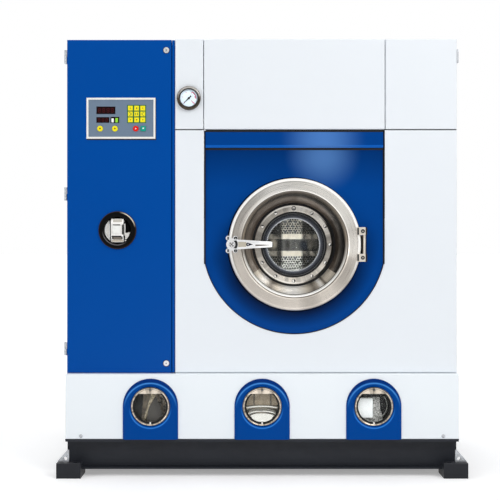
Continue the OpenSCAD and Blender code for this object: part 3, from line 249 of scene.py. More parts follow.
def between(factor, low, high, start=0.3, end=0.7, kind="LINEAR"):
    """A value that goes from low to high while factor goes from start to end."""
    ranged = node(factor.tree, "MapRange", interpolation_type=kind, from_min=start, from_max=end,
                  to_min=low, to_max=high)
    give(factor, ranged.inputs["Value"])
    return Wire(ranged.outputs["Result"])


def inside(value, start, end, soft=0.0007):
    """1 where value lies between start and end, 0 elsewhere, with soft edges."""
    return (between(value, 0.0, 1.0, start - soft, start + soft)
            * between(value, 1.0, 0.0, end - soft, end + soft))


def mixed(factor, first, second):
    """A colour between first and second, each a colour or a wire."""
    mix = node(factor.tree, "Mix", data_type="RGBA")
    sockets = mix.inputs["Factor"], mix.inputs[6], mix.inputs[7]
    for value, entry in zip((factor, first, second), sockets):
        give(value, entry)
    return Wire(mix.outputs[2])


print("white at 255 is", linear(255, 255, 255)[0], "and mid grey", round(linear(128, 128, 128)[0], 3))

# %% [markdown]
# The panels are powder coated. Such a coat has two things a flat colour lacks: a faint unevenness of
# tone over half a metre, and orange peel, a ripple of one or two millimetres that softens every
# reflection. Noise at those two sizes gives both. Modelling the ripple would need millions of faces,
# and a bump does the same to the light. A band of another colour between two heights serves for the
# painted shade under the lintel and for the painted highlight on the lintel's lower edge, and a soft
# pale patch for the painted reflection of a lamp at the upper right of the recess and the lintel.

# %% Powder coat
def soft_patch(x, z, middle_x, middle_z, wide, tall):
    """1 at a place on the front, fading to 0 at the edge of an ellipse round it."""
    across, up = (x - middle_x) / wide, (z - middle_z) / tall
    fade = (1.0 - (across * across + up * up)) | 0.0
    return fade * fade


def powder_coat(name, colour, tone=0.03, rough=0.34, gloss=0.3, peel=0.00003, band=None, glow=None):
    material, tree, shader = new_finish(name, colour, rough, gloss=gloss)
    tint = mixed(cloud(tree, 1.4, 1.5), times(colour, 1 - tone), times(colour, 1 + tone))
    x, y, z = coordinates(tree)
    if band:
        plain_z, band_z, band_colour = band
        tint = mixed(between(z, 0.0, 1.0, plain_z, band_z), tint, band_colour)
    if glow:
        *place, painted_highlight = glow
        tint = mixed(soft_patch(x, z, *place), tint, painted_highlight)
    surface(shader, tint, between(cloud(tree, 14.0), rough - 0.03, rough + 0.04),
            bumps=cloud(tree, 620.0, 1.0), depth=peel)
    return material


def blue_coat(name, colour, gloss, **more):
    """The blues are glossier and smoother than the whites."""
    return powder_coat(name, colour, tone=0.03, rough=0.2, gloss=gloss, peel=0.000008, **more)


lintel_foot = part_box("door_lintel")[0].z
white_coat = powder_coat("white_powder_coat", linear(238, 243, 248), tone=0.006)
casing_coat = powder_coat("casing_powder_coat", linear(244, 250, 254), tone=0.006)
door_blue = blue_coat("blue_door_coat", linear(2, 75, 160), 0.05)
# painted shade under the lintel, and a painted reflection of a lamp at the upper right
recess_blue = blue_coat("blue_recess_coat", linear(2, 67, 145), 0.04,
                        band=(lintel_foot - 0.17, lintel_foot, linear(2, 50, 112)),
                        glow=(0.256, 1.34, 0.17, 0.17, linear(76, 120, 180)))
# painted highlight on the lintel's lower edge, and the same painted reflection of a lamp
lintel_blue = blue_coat("blue_lintel_coat", linear(2, 65, 142), 0.05,
                        band=(lintel_foot + 0.012, lintel_foot + 0.010, linear(16, 96, 190)),
                        glow=(0.256, 1.40, 0.19, 0.5, linear(74, 124, 194)))
arch_blue = blue_coat("blue_arch_coat", linear(2, 69, 149), 0.03)
print("coats:", white_coat.name, door_blue.name, recess_blue.name, arch_blue.name)

# %% [markdown]
# The base is hot rolled channel under a satin dark coat. Rolled steel is never smooth, so its bumps
# are larger than the panels', and the coat is a little paler where it has been handled.

# %% Base coat
def rolled_coat(name, colour, rough=0.45):
    material, tree, shader = new_finish(name, colour, rough, gloss=0.3)
    rubs = between(cloud(tree, 5.0, 4.0, stretch=(1, 1, 2.5)), 0.0, 0.6, 0.42, 0.72)
    surface(shader, mixed(rubs, colour, times(colour, 1.25)),
            between(cloud(tree, 40.0), rough - 0.06, rough + 0.08),
            bumps=cloud(tree, 170.0, 4.0), depth=0.00008)
    return material


base_coat = rolled_coat("dark_base_coat", linear(34, 37, 44))
foot_coat = rolled_coat("dark_foot_coat", linear(28, 30, 36))
frame_coat = rolled_coat("grey_frame_coat", linear(120, 124, 130), rough=0.5)
motor_coat = rolled_coat("machine_coat", linear(66, 86, 104), rough=0.5)
cast_iron = rolled_coat("cast_iron", linear(88, 90, 94), rough=0.6)
print("coats of the base:", base_coat.name, foot_coat.name)

# %% [markdown]
# The loading door is spun from stainless steel and then brushed while it turns, so its lines run
# round the axis. Such a face throws light out in fans. The shader's anisotropy makes them when its
# tangent follows the lines, and a fine noise that changes fast along the radius draws the lines
# themselves. Three wires from the axis serve every turned piece: the radius, and the place across and
# up from the axis.

# %% Turned pieces
def from_axis(tree, centre):
    """Radius, place across and place up from an axis along Y through centre."""
    x, y, z = coordinates(tree)
    across, up = x - centre.x, z - centre.z
    return maths("SQRT", across * across + up * up), across, up


def vector_of(tree, *values):
    made = node(tree, "CombineXYZ")
    for value, entry in zip(values, made.inputs):
        give(value, entry)
    return Wire(made.outputs["Vector"])


lines_per_metre = 900.0


def turning_lines(place):
    """Fine rings: noise that changes fast along the radius and slowly round it."""
    radius, across, up = place
    tree = radius.tree
    point = vector_of(tree, radius * lines_per_metre, across / radius * 1.5, up / radius * 1.5)
    return cloud(tree, 1.0, 3.0, place=point)


def sectors(place, count=6.0):
    """Slow light and dark sectors round the axis, the same at every radius."""
    radius, across, up = place
    tree = radius.tree
    point = vector_of(tree, 3.7, across / radius * count, up / radius * count)
    return cloud(tree, 1.0, 2.0, place=point)


def wheel(across, up):
    """Angle in radians from straight right, -pi to pi, anticlockwise."""
    return maths("ARCTAN2", up, across)


def spun_steel(name, colour, centre, rough, brushing=0.7, streaks=0.0):
    material, tree, shader = new_finish(name, colour, rough, metal=1.0)
    place = from_axis(tree, centre)
    lines = turning_lines(place)
    tint = mixed(lines, times(colour, 0.88), colour)
    if streaks:
        shade = between(sectors(place), 1.0, 0.0, 0.44, 0.56)
        tint = mixed(shade * streaks, tint, times(colour, 0.3))
    shader.inputs["Anisotropic"].default_value = brushing
    around = node(tree, "Tangent", direction_type="RADIAL", axis="Y")
    give(Wire(around.outputs["Tangent"]), shader.inputs["Tangent"])
    surface(shader, tint, between(lines, rough - 0.06, rough + 0.08), bumps=lines, depth=0.00001)
    return material, shader, place, tint


print("spun steel has a line every", round(1000 / lines_per_metre, 1), "mm")

# %% [markdown]
# The fans of the real door also mirror a studio of which only the reflections are known. Those are
# laid on as painted reflections: each fan points in a direction from the axis, is full within a few
# degrees of it and fades out beyond. The cosine of the angle to that direction is one dot product, and
# it has no seam anywhere round the circle, which an angle would have.

# %% Fans of light and shade
def fan(place, toward, core, wide):
    """1 within core degrees of a direction (0 is up, 90 is right), 0 beyond wide degrees."""
    radius, across, up = place
    turned = math.radians(toward)
    cosine = (across * math.sin(turned) + up * math.cos(turned)) / radius
    return between(cosine, 0.0, 1.0, math.cos(math.radians(wide)), math.cos(math.radians(core)))


def with_fans(place, tint, rows, zone=None):
    """Lays fans over a tint. Each row: direction, core, width, share, colour."""
    for toward, core, wide, share, colour in rows:
        factor = fan(place, toward, core, wide) * share
        tint = mixed(factor if zone is None else factor * zone, tint, colour)
    return tint


mirror_dark, mirror_light = linear(60, 54, 48), linear(255, 251, 243)
print("fans tint from", [round(c, 2) for c in mirror_dark[:3]],
      "to", [round(c, 2) for c in mirror_light[:3]])

# %% [markdown]
# The door stands close in front of the recess and shades it, most below. That shade is painted into
# the recess's coat, and a darker ring of painted shadow for the gap behind the door's rim.

# %% Shade of the door
def tinted(material, factor_of, colour):
    """Mixes one more colour into a coat where factor_of(tree) is 1."""
    tree = material.node_tree
    base = tree.nodes["Principled BSDF"].inputs["Base Color"]
    give(mixed(factor_of(tree), Wire(base.links[0].from_socket), colour), base)


shade_from, shade_to = 0.278, 0.355


def door_shade(tree):
    radius, across, up = from_axis(tree, door)
    return (between(radius, 1.0, 0.0, shade_from, shade_to)
            * between(up / radius, 1.0, 0.0, -0.55, 0.35))


def door_gap_shadow(tree):
    return inside(from_axis(tree, door)[0], 0.250, 0.2835, 0.001)


# painted shade of the door on the recess, and a painted shadow in the gap behind its rim
tinted(recess_blue, door_shade, linear(2, 24, 62))
tinted(recess_blue, door_gap_shadow, linear(2, 12, 34))
print("the door's shade ends", round(shade_to - radius_of("door_ring"), 3), "m outside its rim")

# %% [markdown]
# Each blue arch round a sight window is pressed: its inner bead above and its lower edge get a painted
# highlight, and the outer bevel is painted dark as shade. The three arches repeat at one pitch, so the
# remainder of X by that pitch serves all of them.

# %% Painted light on the pressed arches
def window_place(tree, drop=0.0):
    """Radius, place across and place up from the nearest window's centre."""
    x, y, z = coordinates(tree)
    across = (x + (1.5 * window_pitch - windows[1].x)) % window_pitch - window_pitch / 2
    up = z - (window_z - drop)
    return maths("SQRT", across * across + up * up), across, up


def upper_bead_highlight(tree):
    radius, across, up = window_place(tree, 0.012)
    return inside(radius, 0.1065, 0.1115, 0.002) * inside(wheel(across, up), 0.35, 2.8, 0.3)


def outer_bevel_shade(tree):
    radius, across, up = window_place(tree, 0.012)
    return between(radius, 0.0, 1.0, 0.1125, 0.1155) * between(up, 0.0, 1.0, 0.0, 0.04)


def lower_edge_highlight(tree):
    radius, across, up = window_place(tree, 0.004)
    return inside(radius, 0.0835, 0.0885, 0.0015) * inside(wheel(across, up), -2.9, -0.25, 0.3)


# painted highlights on the bead and the lower edge, painted shade on the outer bevel
tinted(arch_blue, upper_bead_highlight, linear(70, 142, 218))
tinted(arch_blue, outer_bevel_shade, linear(2, 48, 118))
tinted(arch_blue, lower_edge_highlight, linear(44, 124, 214))
print("window pitch", round(window_pitch, 4))

# %% [markdown]
# The door's ring is one piece of steel with five looks, and the radius tells them apart: the satin
# face, a step painted dark as shade, a rolled lip, a groove behind the lip painted dark as shade, and
# the cone. The cone comes first. It is painted brown as the reflection of the drum, darker in a painted
# shadow of the lip along its outer edge and in two dark fans, and painted bright in a sector at its foot
# as the reflection of the light from above. That sector has straight ends, so an angle from straight
# down cuts it out, and the same angle places its painted light and dark streaks.

# %% Cone of the door
door_steel, door_shader, place, satin_with_painted_light = spun_steel("spun_door_steel", linear(216, 208, 198), door, 0.3)
radius, across, up = place
turned_by = maths("ARCTAN2", across, up * -1.0)
foot_half = 0.96
# painted reflection of the light from above, in a sector at the cone's foot, with painted streaks
lit_foot = between(abs(turned_by), 1.0, 0.0, foot_half - 0.005, foot_half + 0.005)
glare = (inside(turned_by, -0.26, 0.17, 0.12) | inside(turned_by, -0.80, -0.62, 0.1)
         | inside(turned_by, 0.54, 0.62, 0.04))
gloom = (inside(turned_by, -0.56, -0.44, 0.08) | inside(turned_by, 0.36, 0.48, 0.07)
         | inside(turned_by, 0.645, 0.70, 0.02))
foot_reflection = mixed(gloom, mixed(glare, linear(206, 197, 182), linear(255, 254, 251)), linear(104, 96, 86))
# painted shadow of the lip along the cone's outer edge, and the cone's brown painted reflection
lip_shadow = between(radius + across / radius * 0.007, 0.0, 1.0, 0.198, 0.2045)
cone_reflection_and_shade = with_fans(place, mixed(lip_shadow, linear(122, 109, 97), linear(18, 15, 13)),
                  ((85, 15, 48, 0.72, linear(8, 7, 6)), (315, 30, 70, 0.3, linear(20, 17, 15))))
cone_tint = mixed(lit_foot, cone_reflection_and_shade, foot_reflection)
cone_end = 0.2086
on_cone = between(radius, 1.0, 0.0, cone_end, cone_end + 0.0006)
print("the cone is", round(cone_end * 2, 3), "m wide and its bright foot spans",
      round(math.degrees(foot_half) * 2), "degrees")

# %% [markdown]
# The satin face outside the cone gets a painted highlight above, where it faces the lamps, with a
# painted bright fan at the upper right and painted dark fans at the upper left and lower right. The
# rolled lip between face and cone is painted bright below and dark above, and the outer rim gets a thin
# painted line of light. Bright steel in shade would mirror only the dark room, so the lightest places
# are made less metallic.

# %% Face and lip of the door
rise = up / radius
# painted highlight above and painted fans of light and shade on the satin face
satin_with_painted_light = mixed(between(rise, 0.0, 0.9, 0.1, 0.9), satin_with_painted_light, linear(255, 252, 246))
outer_face = between(radius, 0.0, 1.0, 0.233, 0.240)
near_rim = between(radius, 0.0, 1.0, 0.257, 0.264)
satin_with_painted_light = with_fans(place, satin_with_painted_light, (
    (121, 5, 20, 0.36, mirror_dark), (165, 3, 12, 0.28, mirror_dark), (215, 10, 30, 0.14, mirror_dark),
    (36, 20, 46, 0.95, mirror_light), (90, 5, 14, 0.7, mirror_light), (295, 20, 50, 0.1, mirror_dark)))
satin_with_painted_light = with_fans(place, satin_with_painted_light, ((304, 8, 34, 0.38, mirror_dark), (335, 20, 50, 0.16, mirror_dark)),
                  outer_face)
satin_with_painted_light = with_fans(place, satin_with_painted_light, ((305, 50, 75, 0.44, mirror_dark),), near_rim)
# painted light on the lip: bright below, dark above
lip_light_and_shade = mixed(between(rise, 0.0, 1.0, -0.75, 0.1), linear(255, 254, 250), linear(142, 130, 114))
lip_light_and_shade = mixed(between(rise, 0.0, 1.0, 0.1, 0.9), lip_light_and_shade, linear(72, 64, 54))
lip_start, lip_end, face_start, rim_start = 0.2104, 0.2200, 0.2236, 0.2640
on_lip = inside(radius, lip_start, lip_end)
on_face = between(radius, 0.0, 1.0, face_start, face_start + 0.0004)
on_rim = inside(radius, rim_start, 0.2760, 0.0015) * between(rise, 0.0, 1.0, -0.6, -0.1)
tint = mixed(on_cone, satin_with_painted_light, cone_tint)
# the dark step and groove are painted shade, and the rim's line is a painted highlight
for zone, colour in (
        (inside(radius, cone_end - 0.0002, lip_start, 0.0003), linear(30, 26, 22)), (on_lip, lip_light_and_shade),
        (inside(radius, lip_end, 0.2235), linear(96, 86, 74)), (on_rim, linear(255, 253, 248))):
    tint = mixed(zone, tint, colour)
bare = (on_cone * between(lit_foot, 0.75, 0.7, 0.0, 1.0) + on_lip * 0.8
        + between(rise, 0.0, 0.35, 0.1, 0.9) * on_face + on_rim * 0.8)
surface(door_shader, tint, metal=1.0 - bare)
print("the lip is", round((lip_end - lip_start) * 1000, 1), "mm wide")

# %% [markdown]
# The flange that holds the door's glass is turned steel too, with painted reflections in fans round it
# and a polished outer edge, which is painted bright above and at the lower left and black at the
# right. The rings of the sight windows have darker streaks round them and two dark edges, where ring
# meets arch and gasket.

# %% Flange and window rings
flange_steel, shader, place, tint = spun_steel("turned_flange_steel", linear(248, 240, 228), door, 0.3, 0.5,
                                               streaks=0.5)
# painted reflections on the flange and on its outer edge
tint = with_fans(place, tint, (
    (95, 10, 38, 0.5, mirror_dark), (285, 15, 62, 0.42, mirror_dark), (330, 8, 25, 0.3, mirror_dark),
    (50, 8, 28, 0.6, mirror_light), (5, 4, 16, 0.7, mirror_light)))
edge = between(place[0], 0.0, 1.0, 0.1600, 0.1612)
tint = with_fans(place, tint, ((355, 22, 55, 1.0, mirror_light), (205, 25, 45, 0.9, mirror_light),
                               (100, 40, 66, 0.95, linear(10, 9, 8))), edge)
lit = edge * (fan(place, 355, 22, 55) | fan(place, 205, 25, 45))
surface(shader, tint, metal=between(lit, 1.0, 0.3, 0.0, 1.0))

window_steel, shader, place, tint = spun_steel("window_ring_steel", linear(226, 214, 198), windows[1],
                                               0.3, 0.3)
place = window_place(shader.id_data)
tint = mixed(between(sectors(place), 0.75, 0.0, 0.36, 0.52), tint, linear(120, 110, 98))
edges = between(place[0], 0.0, 1.0, 0.0775, 0.0785) | inside(place[0], 0.0716, 0.0728, 0.0004)
surface(shader, mixed(edges * 0.7, tint, linear(40, 34, 28)))
print("steels:", door_steel.name, flange_steel.name, window_steel.name)

# %% [markdown]
# Flat sheets of stainless steel are brushed in one direction, and galvanised sheet has crystals a
# centimetre or two across instead. Both are noise: stretched a hundredfold for the first, and cells
# of even grey for the second. Plating is nearly a mirror, with faint haze and very small dents.

# %% Sheet steel and plating
def brushed_sheet(name, colour, rough=0.3, along=(1, 60, 60)):
    material, tree, shader = new_finish(name, colour, rough, metal=1.0)
    lines = cloud(tree, 12.0, 4.0, stretch=along)
    surface(shader, mixed(lines, times(colour, 0.82), colour),
            between(cloud(tree, 7.0), rough - 0.06, rough + 0.1), bumps=lines, depth=0.00001)
    return material


def galvanised(name, colour=linear(176, 180, 184), size=60.0):
    material, tree, shader = new_finish(name, colour, 0.42, metal=1.0)
    crystals = node(tree, "TexVoronoi", scale=size)
    give(here(tree), crystals.inputs["Vector"])
    grey = node(tree, "SeparateColor")
    give(Wire(crystals.outputs["Color"]), grey.inputs["Color"])
    surface(shader, mixed(Wire(grey.outputs["Red"]), times(colour, 0.72), colour),
            between(Wire(grey.outputs["Green"]), 0.34, 0.52, 0.0, 1.0))
    return material


def plated(name, colour, rough=0.08, wear=0.06, metal=1.0):
    material, tree, shader = new_finish(name, colour, rough, metal=metal)
    haze = cloud(tree, 45.0, 4.0)
    surface(shader, mixed(haze, times(colour, 0.92), colour), between(haze, rough, rough + wear),
            bumps=cloud(tree, 90.0, 2.0), depth=0.000004)
    return material


tank_steel = brushed_sheet("tank_steel", linear(190, 182, 168), rough=0.36, along=(40, 40, 1))
tub_steel = brushed_sheet("tub_steel", linear(182, 180, 176), rough=0.38, along=(1, 40, 40))
still_steel = brushed_sheet("still_steel", linear(188, 187, 184), rough=0.32, along=(50, 50, 1))
duct_zinc = galvanised("duct_galvanised")
plate_zinc = galvanised("fastener_zinc", linear(205, 208, 212), size=220.0)
handle_chrome = plated("handle_plating", linear(252, 252, 252), rough=0.3, wear=0.06, metal=0.3)
lever_chrome = plated("satin_chrome", linear(252, 250, 246), rough=0.28, wear=0.08, metal=0.45)
lock_zinc = plated("lock_zinc", linear(236, 236, 236), rough=0.3, wear=0.1, metal=0.6)
screw_steel = plated("screw_steel", linear(250, 246, 240), rough=0.25, wear=0.1, metal=0.3)
print("sheet steels and platings:", tank_steel.name, duct_zinc.name, handle_chrome.name)

# %% [markdown]
# The hinge blocks of the loading door are cast and ground. Between them runs a round bar, painted
# darker as the reflection of the dark gap on its left, and the far edge of blocks and bar is painted
# dark as shade, where it turns away from the light. Both painted shades are measured inwards from the
# right end of the blocks.

# %% Hinge steel
hinge_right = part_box("door_hinge_knuckles")[1].x


def hinge_far_edge_shade(tree):
    return between(hinge_right - coordinates(tree)[0], 1.0, 0.0, 0.0072, 0.0088)


def hinge_bar_shade(tree):
    x, y, z = coordinates(tree)
    return (between(hinge_right - x, 0.0, 1.0, 0.0145, 0.0170)
            * between(abs(z - door.z), 1.0, 0.0, 0.037, 0.039))


knuckle_steel = plated("cast_hinge_steel", linear(236, 228, 216), rough=0.3, wear=0.15, metal=0.5)
# painted shade on the hinge bar and on the far edge of the blocks
tinted(knuckle_steel, hinge_bar_shade, linear(104, 92, 80))
tinted(knuckle_steel, hinge_far_edge_shade, linear(22, 18, 18))
print("hinge blocks end at x", round(hinge_right, 3))

# %% [markdown]
# The drum is punched from thin stainless sheet. The model cuts the larger holes. A staggered field of
# small dark dots with a rim of bump reads as the fine ones between them, at a fraction of the cost of
# cutting thousands. The dots use two running lengths on the sheet: along Y and round the drum for the
# shell, X and Z for the back.

# %% Punched steel
def rows_of_holes(u, v, pitch, hole):
    """1 on the sheet and 0 in the holes, which stand in staggered rows."""
    row_height = pitch * 0.866
    rows = v / row_height
    columns = u / pitch + maths("FLOOR", rows) % 2.0 * 0.5
    du = (maths("FRACT", columns) - 0.5) * pitch
    dv = (maths("FRACT", rows) - 0.5) * row_height
    return between(maths("SQRT", du * du + dv * dv), 0.0, 1.0, hole, hole + 0.0007)


drum_radius, shell_pitch, shell_hole = 0.382, 0.0115, 0.0034
shell_tone = linear(190, 186, 178)
shell_steel, tree, shader = new_finish("punched_shell_steel", shell_tone, 0.36, metal=0.9)
radius, across, up = from_axis(tree, door)
sheet = rows_of_holes(wheel(across, up) * drum_radius, coordinates(tree)[1], shell_pitch, shell_hole)
surface(shader, mixed(sheet, times(shell_tone, 0.03), shell_tone), between(sheet, 0.8, 0.36, 0.0, 1.0),
        bumps=sheet, depth=0.0006)
print("holes on the shell every", shell_pitch * 1000, "mm")

# %% [markdown]
# The drum's back has a plain band across it with two raised ribs, and holes above and below the
# band. Seen through the glass, the sides of the sheet are painted dark as shade, which leaves a bright
# middle from top to bottom, as wide as a hand, as a painted highlight; the sheet is also lighter
# towards the bottom. Between the ribs the steel is stained, and a few soft light and dark spots are
# painted on as light and shade. Height and place across the sheet tell these zones apart.

# %% Back of the drum
back_tone = linear(214, 206, 192)
back_steel, tree, shader = new_finish("punched_back_steel", back_tone, 0.36, metal=0.1)
radius, across, up = from_axis(tree, door)
height = abs(up)
sheet = rows_of_holes(across, up, 0.0118, 0.0031) | between(height, 1.0, 0.0, 0.052, 0.0535)
stains = cloud(tree, 60.0, 3.0, stretch=(1.0, 1.0, 0.4))
blotches = between(cloud(tree, 34.0, 2.0, stretch=(1.0, 1.0, 0.5)), 0.0, 1.0, 0.42, 0.56)
ribs = inside(height, 0.0275, 0.0508, 0.001)
field = mixed(stains, times(back_tone, 0.3), times(back_tone, 0.8))
field = mixed(between(up, 0.8, 0.0, -0.13, 0.0), field, linear(255, 253, 246))
field = mixed(ribs, field, mixed(stains, linear(206, 194, 176), linear(244, 234, 216)))
field = mixed(between(height, 1.0, 0.0, 0.0260, 0.0275), field,
              mixed(stains, linear(52, 54, 60), linear(126, 122, 114)))
# painted shade on the sides of the sheet, which leaves the bright middle as a painted highlight
shaded_sides = mixed(blotches * between(ribs, 0.35, 1.0, 0.0, 1.0), linear(22, 22, 22), linear(112, 104, 92))
field = mixed(between(abs(across - 0.008), 0.0, 1.0, 0.040, 0.052) * 0.94, field, shaded_sides)
x, y, z = coordinates(tree)
# soft spots of painted light and shade
for aside, above, wide, tall, colour in (
        (0.062, 0.0, 0.032, 0.040, linear(30, 38, 50)), (-0.012, 0.0, 0.016, 0.040, linear(56, 54, 50)),
        (-0.076, 0.006, 0.022, 0.034, linear(150, 139, 121)),
        (0.092, -0.004, 0.018, 0.030, linear(92, 86, 76))):
    field = mixed(soft_patch(x, z, door.x + aside, door.z + above, wide, tall), field, colour)
surface(shader, mixed(sheet, linear(10, 10, 10), field), between(sheet, 0.8, 0.4, 0.0, 1.0),
        bumps=sheet, depth=0.0006)
print("zones of the drum's back: field, ribs, middle band, dark sides")

# %% [markdown]
# Rubber and plastic differ mostly in how they scatter light. Rubber is nearly black, rough, and
# blooms grey in patches. Moulded plastic is smoother and has a fine even grain, and a printed ink is
# close to it.

# %% Rubber and plastic
def rubber(name, colour=linear(20, 20, 21)):
    material, tree, shader = new_finish(name, colour, 0.6, gloss=0.3)
    patches = between(cloud(tree, 30.0, 5.0), 0.0, 0.7, 0.45, 0.75)
    surface(shader, mixed(patches, colour, times(colour, 1.8, 0.002)),
            between(cloud(tree, 60.0), 0.5, 0.72), bumps=cloud(tree, 500.0, 3.0), depth=0.00006)
    return material


def moulded(name, colour, rough=0.35, gloss=0.45):
    material, tree, shader = new_finish(name, colour, rough, gloss=gloss)
    surface(shader, mixed(cloud(tree, 25.0, 4.0), colour, times(colour, 1.08, 0.002)),
            between(cloud(tree, 80.0), rough - 0.05, rough + 0.06),
            bumps=cloud(tree, 1400.0, 1.0), depth=0.00003)
    return material


# black for real rubber and for strips of painted shadow
black_rubber = rubber("black_rubber")
belt_rubber = rubber("belt_rubber", linear(28, 28, 29))
frame_plastic = moulded("white_frame_plastic", linear(240, 240, 236), rough=0.3)
plate_coat = moulded("grey_blue_plate", linear(110, 128, 148), rough=0.42, gloss=0.25)
display_red = moulded("dark_red_window", linear(24, 4, 7), rough=0.2, gloss=0.2)
button_yellow = moulded("yellow_button", linear(250, 232, 10), rough=0.3)
button_red = moulded("red_button", linear(226, 22, 14), rough=0.22)
button_teal = moulded("teal_button", linear(12, 158, 138), rough=0.3)
dial_white = moulded("dial_enamel", linear(224, 235, 247), rough=0.4, gloss=0.1)
lamp_white = moulded("white_lamp", linear(245, 247, 248), rough=0.2)
lamp_green = moulded("green_lamp", linear(150, 226, 60), rough=0.2)
plate_grey = moulded("latch_panel", linear(196, 190, 180), rough=0.3)
slope_brown = moulded("latch_shade", linear(126, 117, 106), rough=0.3)
lip_beige = moulded("latch_lip", linear(196, 184, 164), rough=0.3)
web_beige = moulded("handle_web", linear(186, 178, 162), rough=0.35)
hole_reflection_blue = moulded("painted_hole_reflection", linear(8, 16, 44), rough=0.3)
# white for painted glints and highlights
glint_white = moulded("painted_glint_white", linear(255, 255, 255), rough=0.3)
# the black serves for print and for painted shade
ink_and_shade_black, ink_brown, ink_red, ink_pink, ink_grey, key_green, groove_grey = (
    moulded(name, linear(*rgb), rough=0.4) for name, rgb in (
        ("black_ink_and_shade", (14, 14, 16)), ("brown_ink", (120, 70, 20)), ("red_ink", (196, 52, 84)),
        ("pink_ink", (190, 70, 96)), ("grey_ink", (96, 92, 104)), ("green_ink", (20, 96, 50)),
        ("handle_groove", (82, 74, 66))))
print("rubbers, plastics and inks ready, the darkest:", black_rubber.name)

# %% [markdown]
# The gauge's bezel is chromed brass. It mirrors the lamps above, its lower part is painted dark as the
# reflection of a dark room below, and its turned outer edge is dark. Both are tints round the gauge's
# axis.

# %% Gauge bezel
bezel_chrome = plated("gauge_bezel_chrome", linear(196, 192, 186), rough=0.2, wear=0.1, metal=0.7)
bezel_r = radius_of("gauge_case")


def bezel_lower_reflection(tree):
    radius, across, up = from_axis(tree, gauge)
    return between(up / radius, 1.0, 0.0, -0.1, 0.75)


def bezel_edge(tree):
    return between(from_axis(tree, gauge)[0], 0.0, 1.0, bezel_r - 0.0035, bezel_r - 0.0015)


# painted dark reflection on the bezel's lower part
tinted(bezel_chrome, bezel_lower_reflection, linear(74, 64, 52))
tinted(bezel_chrome, bezel_edge, linear(64, 56, 48))
print("bezel", round(bezel_r * 2000), "mm wide")

# %% [markdown]
# The dish round the latch's lever is moulded in black. Highlights are painted on it in arcs: a brown
# line all round the rim, a bright arc at the upper right, and a grey one inside at the lower left. Each
# arc lies between two radii and two angles.

# %% Latch dish
latch_black = moulded("latch_bezel_black", linear(6, 6, 7), rough=0.35, gloss=0.08)


def latch_highlight_arc(start, end, first, last, soft):
    def factor(tree):
        radius, across, up = from_axis(tree, latch)
        return inside(radius, start, end, 0.001) * inside(wheel(across, up), first, last, soft)
    return factor


latch_highlight_arcs = (((0.0762, 0.0800, -3.3, 3.3, 0.1), linear(56, 36, 22)),
              ((0.0735, 0.0775, 0.35, 1.25, 0.2), linear(226, 214, 194)),
              ((0.0605, 0.0635, -2.85, -1.1, 0.25), linear(112, 110, 114)))
# painted highlight arcs on the latch's dish
for limits, colour in latch_highlight_arcs:
    tinted(latch_black, latch_highlight_arc(*limits), colour)
print("arcs on the latch's dish:", len(latch_highlight_arcs))

# %% [markdown]
# The keypad is one rubber mat: a green field with nine yellow keys standing a millimetre proud.
# The two colours are printed on one piece, so one material reads how far a point stands out and
# picks its colour by that.

# %% Keypad
def keypad_rubber(name, field, key, key_face):
    material, tree, shader = new_finish(name, key, 0.45, gloss=0.35)
    proud = between(coordinates(tree)[1], 1.0, 0.0, key_face + 0.0003, key_face + 0.0007)
    field_tint = mixed(cloud(tree, 60.0, 3.0), field, times(field, 0.8))
    surface(shader, mixed(proud, field_tint, key), between(cloud(tree, 90.0), 0.4, 0.52),
            bumps=cloud(tree, 900.0, 2.0), depth=0.00004)
    return material


keypad_mat = keypad_rubber("keypad_rubber", linear(20, 112, 62), linear(246, 232, 14), front_of("keypad"))
print("keys stand at", round(front_of("keypad"), 4))

# %% [markdown]
# Glass needs care in a path tracer: a clear solid casts a full shadow, which would leave the drum
# and the tanks black. Letting only the shadow rays through it keeps the reflections and refraction
# and still lights what is behind. The door's bowl is pressed, not drawn: its sloping wall is thick and
# painted from grey to nearly black as the reflection of the black rubber round it, and the fold at its
# bottom gets a thin pale ring of painted highlight. The low index of refraction stands for a coated
# pane: with that of plain glass, the bright floor mirrored in it veils the inside.

# %% Glass
def rays_of(tree, *kinds):
    """1 for the kinds of ray named, such as Camera or Glossy, and 0 for the others."""
    outputs = node(tree, "LightPath").outputs
    seen, *others = [Wire(outputs["Is " + kind + " Ray"]) for kind in kinds]
    for other in others:
        seen = seen | other
    return seen


def clear_glass(name, tint, ring=None):
    material, tree, shader = new_finish(name, tint, 0.0)
    shader.inputs["Transmission Weight"].default_value = 1.0
    shader.inputs["IOR"].default_value = 1.15
    surface(shader, rough=between(cloud(tree, 18.0, 5.0), 0.0, 0.03, 0.5, 0.8))
    through = node(tree, "BsdfTransparent")
    through.inputs["Color"].default_value = tint
    mix = node(tree, "MixShader")
    for value, entry in zip((rays_of(tree, "Shadow"), Wire(shader.outputs[0]), Wire(through.outputs[0])),
                            mix.inputs):
        give(value, entry)
    if ring:
        fold, wall = ring
        radius = from_axis(tree, door)[0]
        # the wall is painted dark as a reflection, and the fold gets a painted highlight
        wall_reflection = inside(radius, fold, wall, 0.003)
        wall_reflection_tint = mixed(between(radius, 0.0, 1.0, fold, wall - 0.003),
                      linear(120, 124, 134), linear(16, 17, 20))
        patchy = between(cloud(tree, 6.0, 1.0), 0.1, 0.7, 0.38, 0.6)
        painted_highlight = inside(radius, fold - 0.002, fold + 0.0012, 0.0012) * patchy
        surface(shader, mixed(painted_highlight, mixed(wall_reflection, tint, wall_reflection_tint), linear(176, 178, 182)))
        give(1.0 - (wall_reflection * 0.6 | painted_highlight * 0.8), shader.inputs["Transmission Weight"])
    output = next(n for n in tree.nodes if n.type == "OUTPUT_MATERIAL")
    give(Wire(mix.outputs[0]), output.inputs["Surface"])
    return material


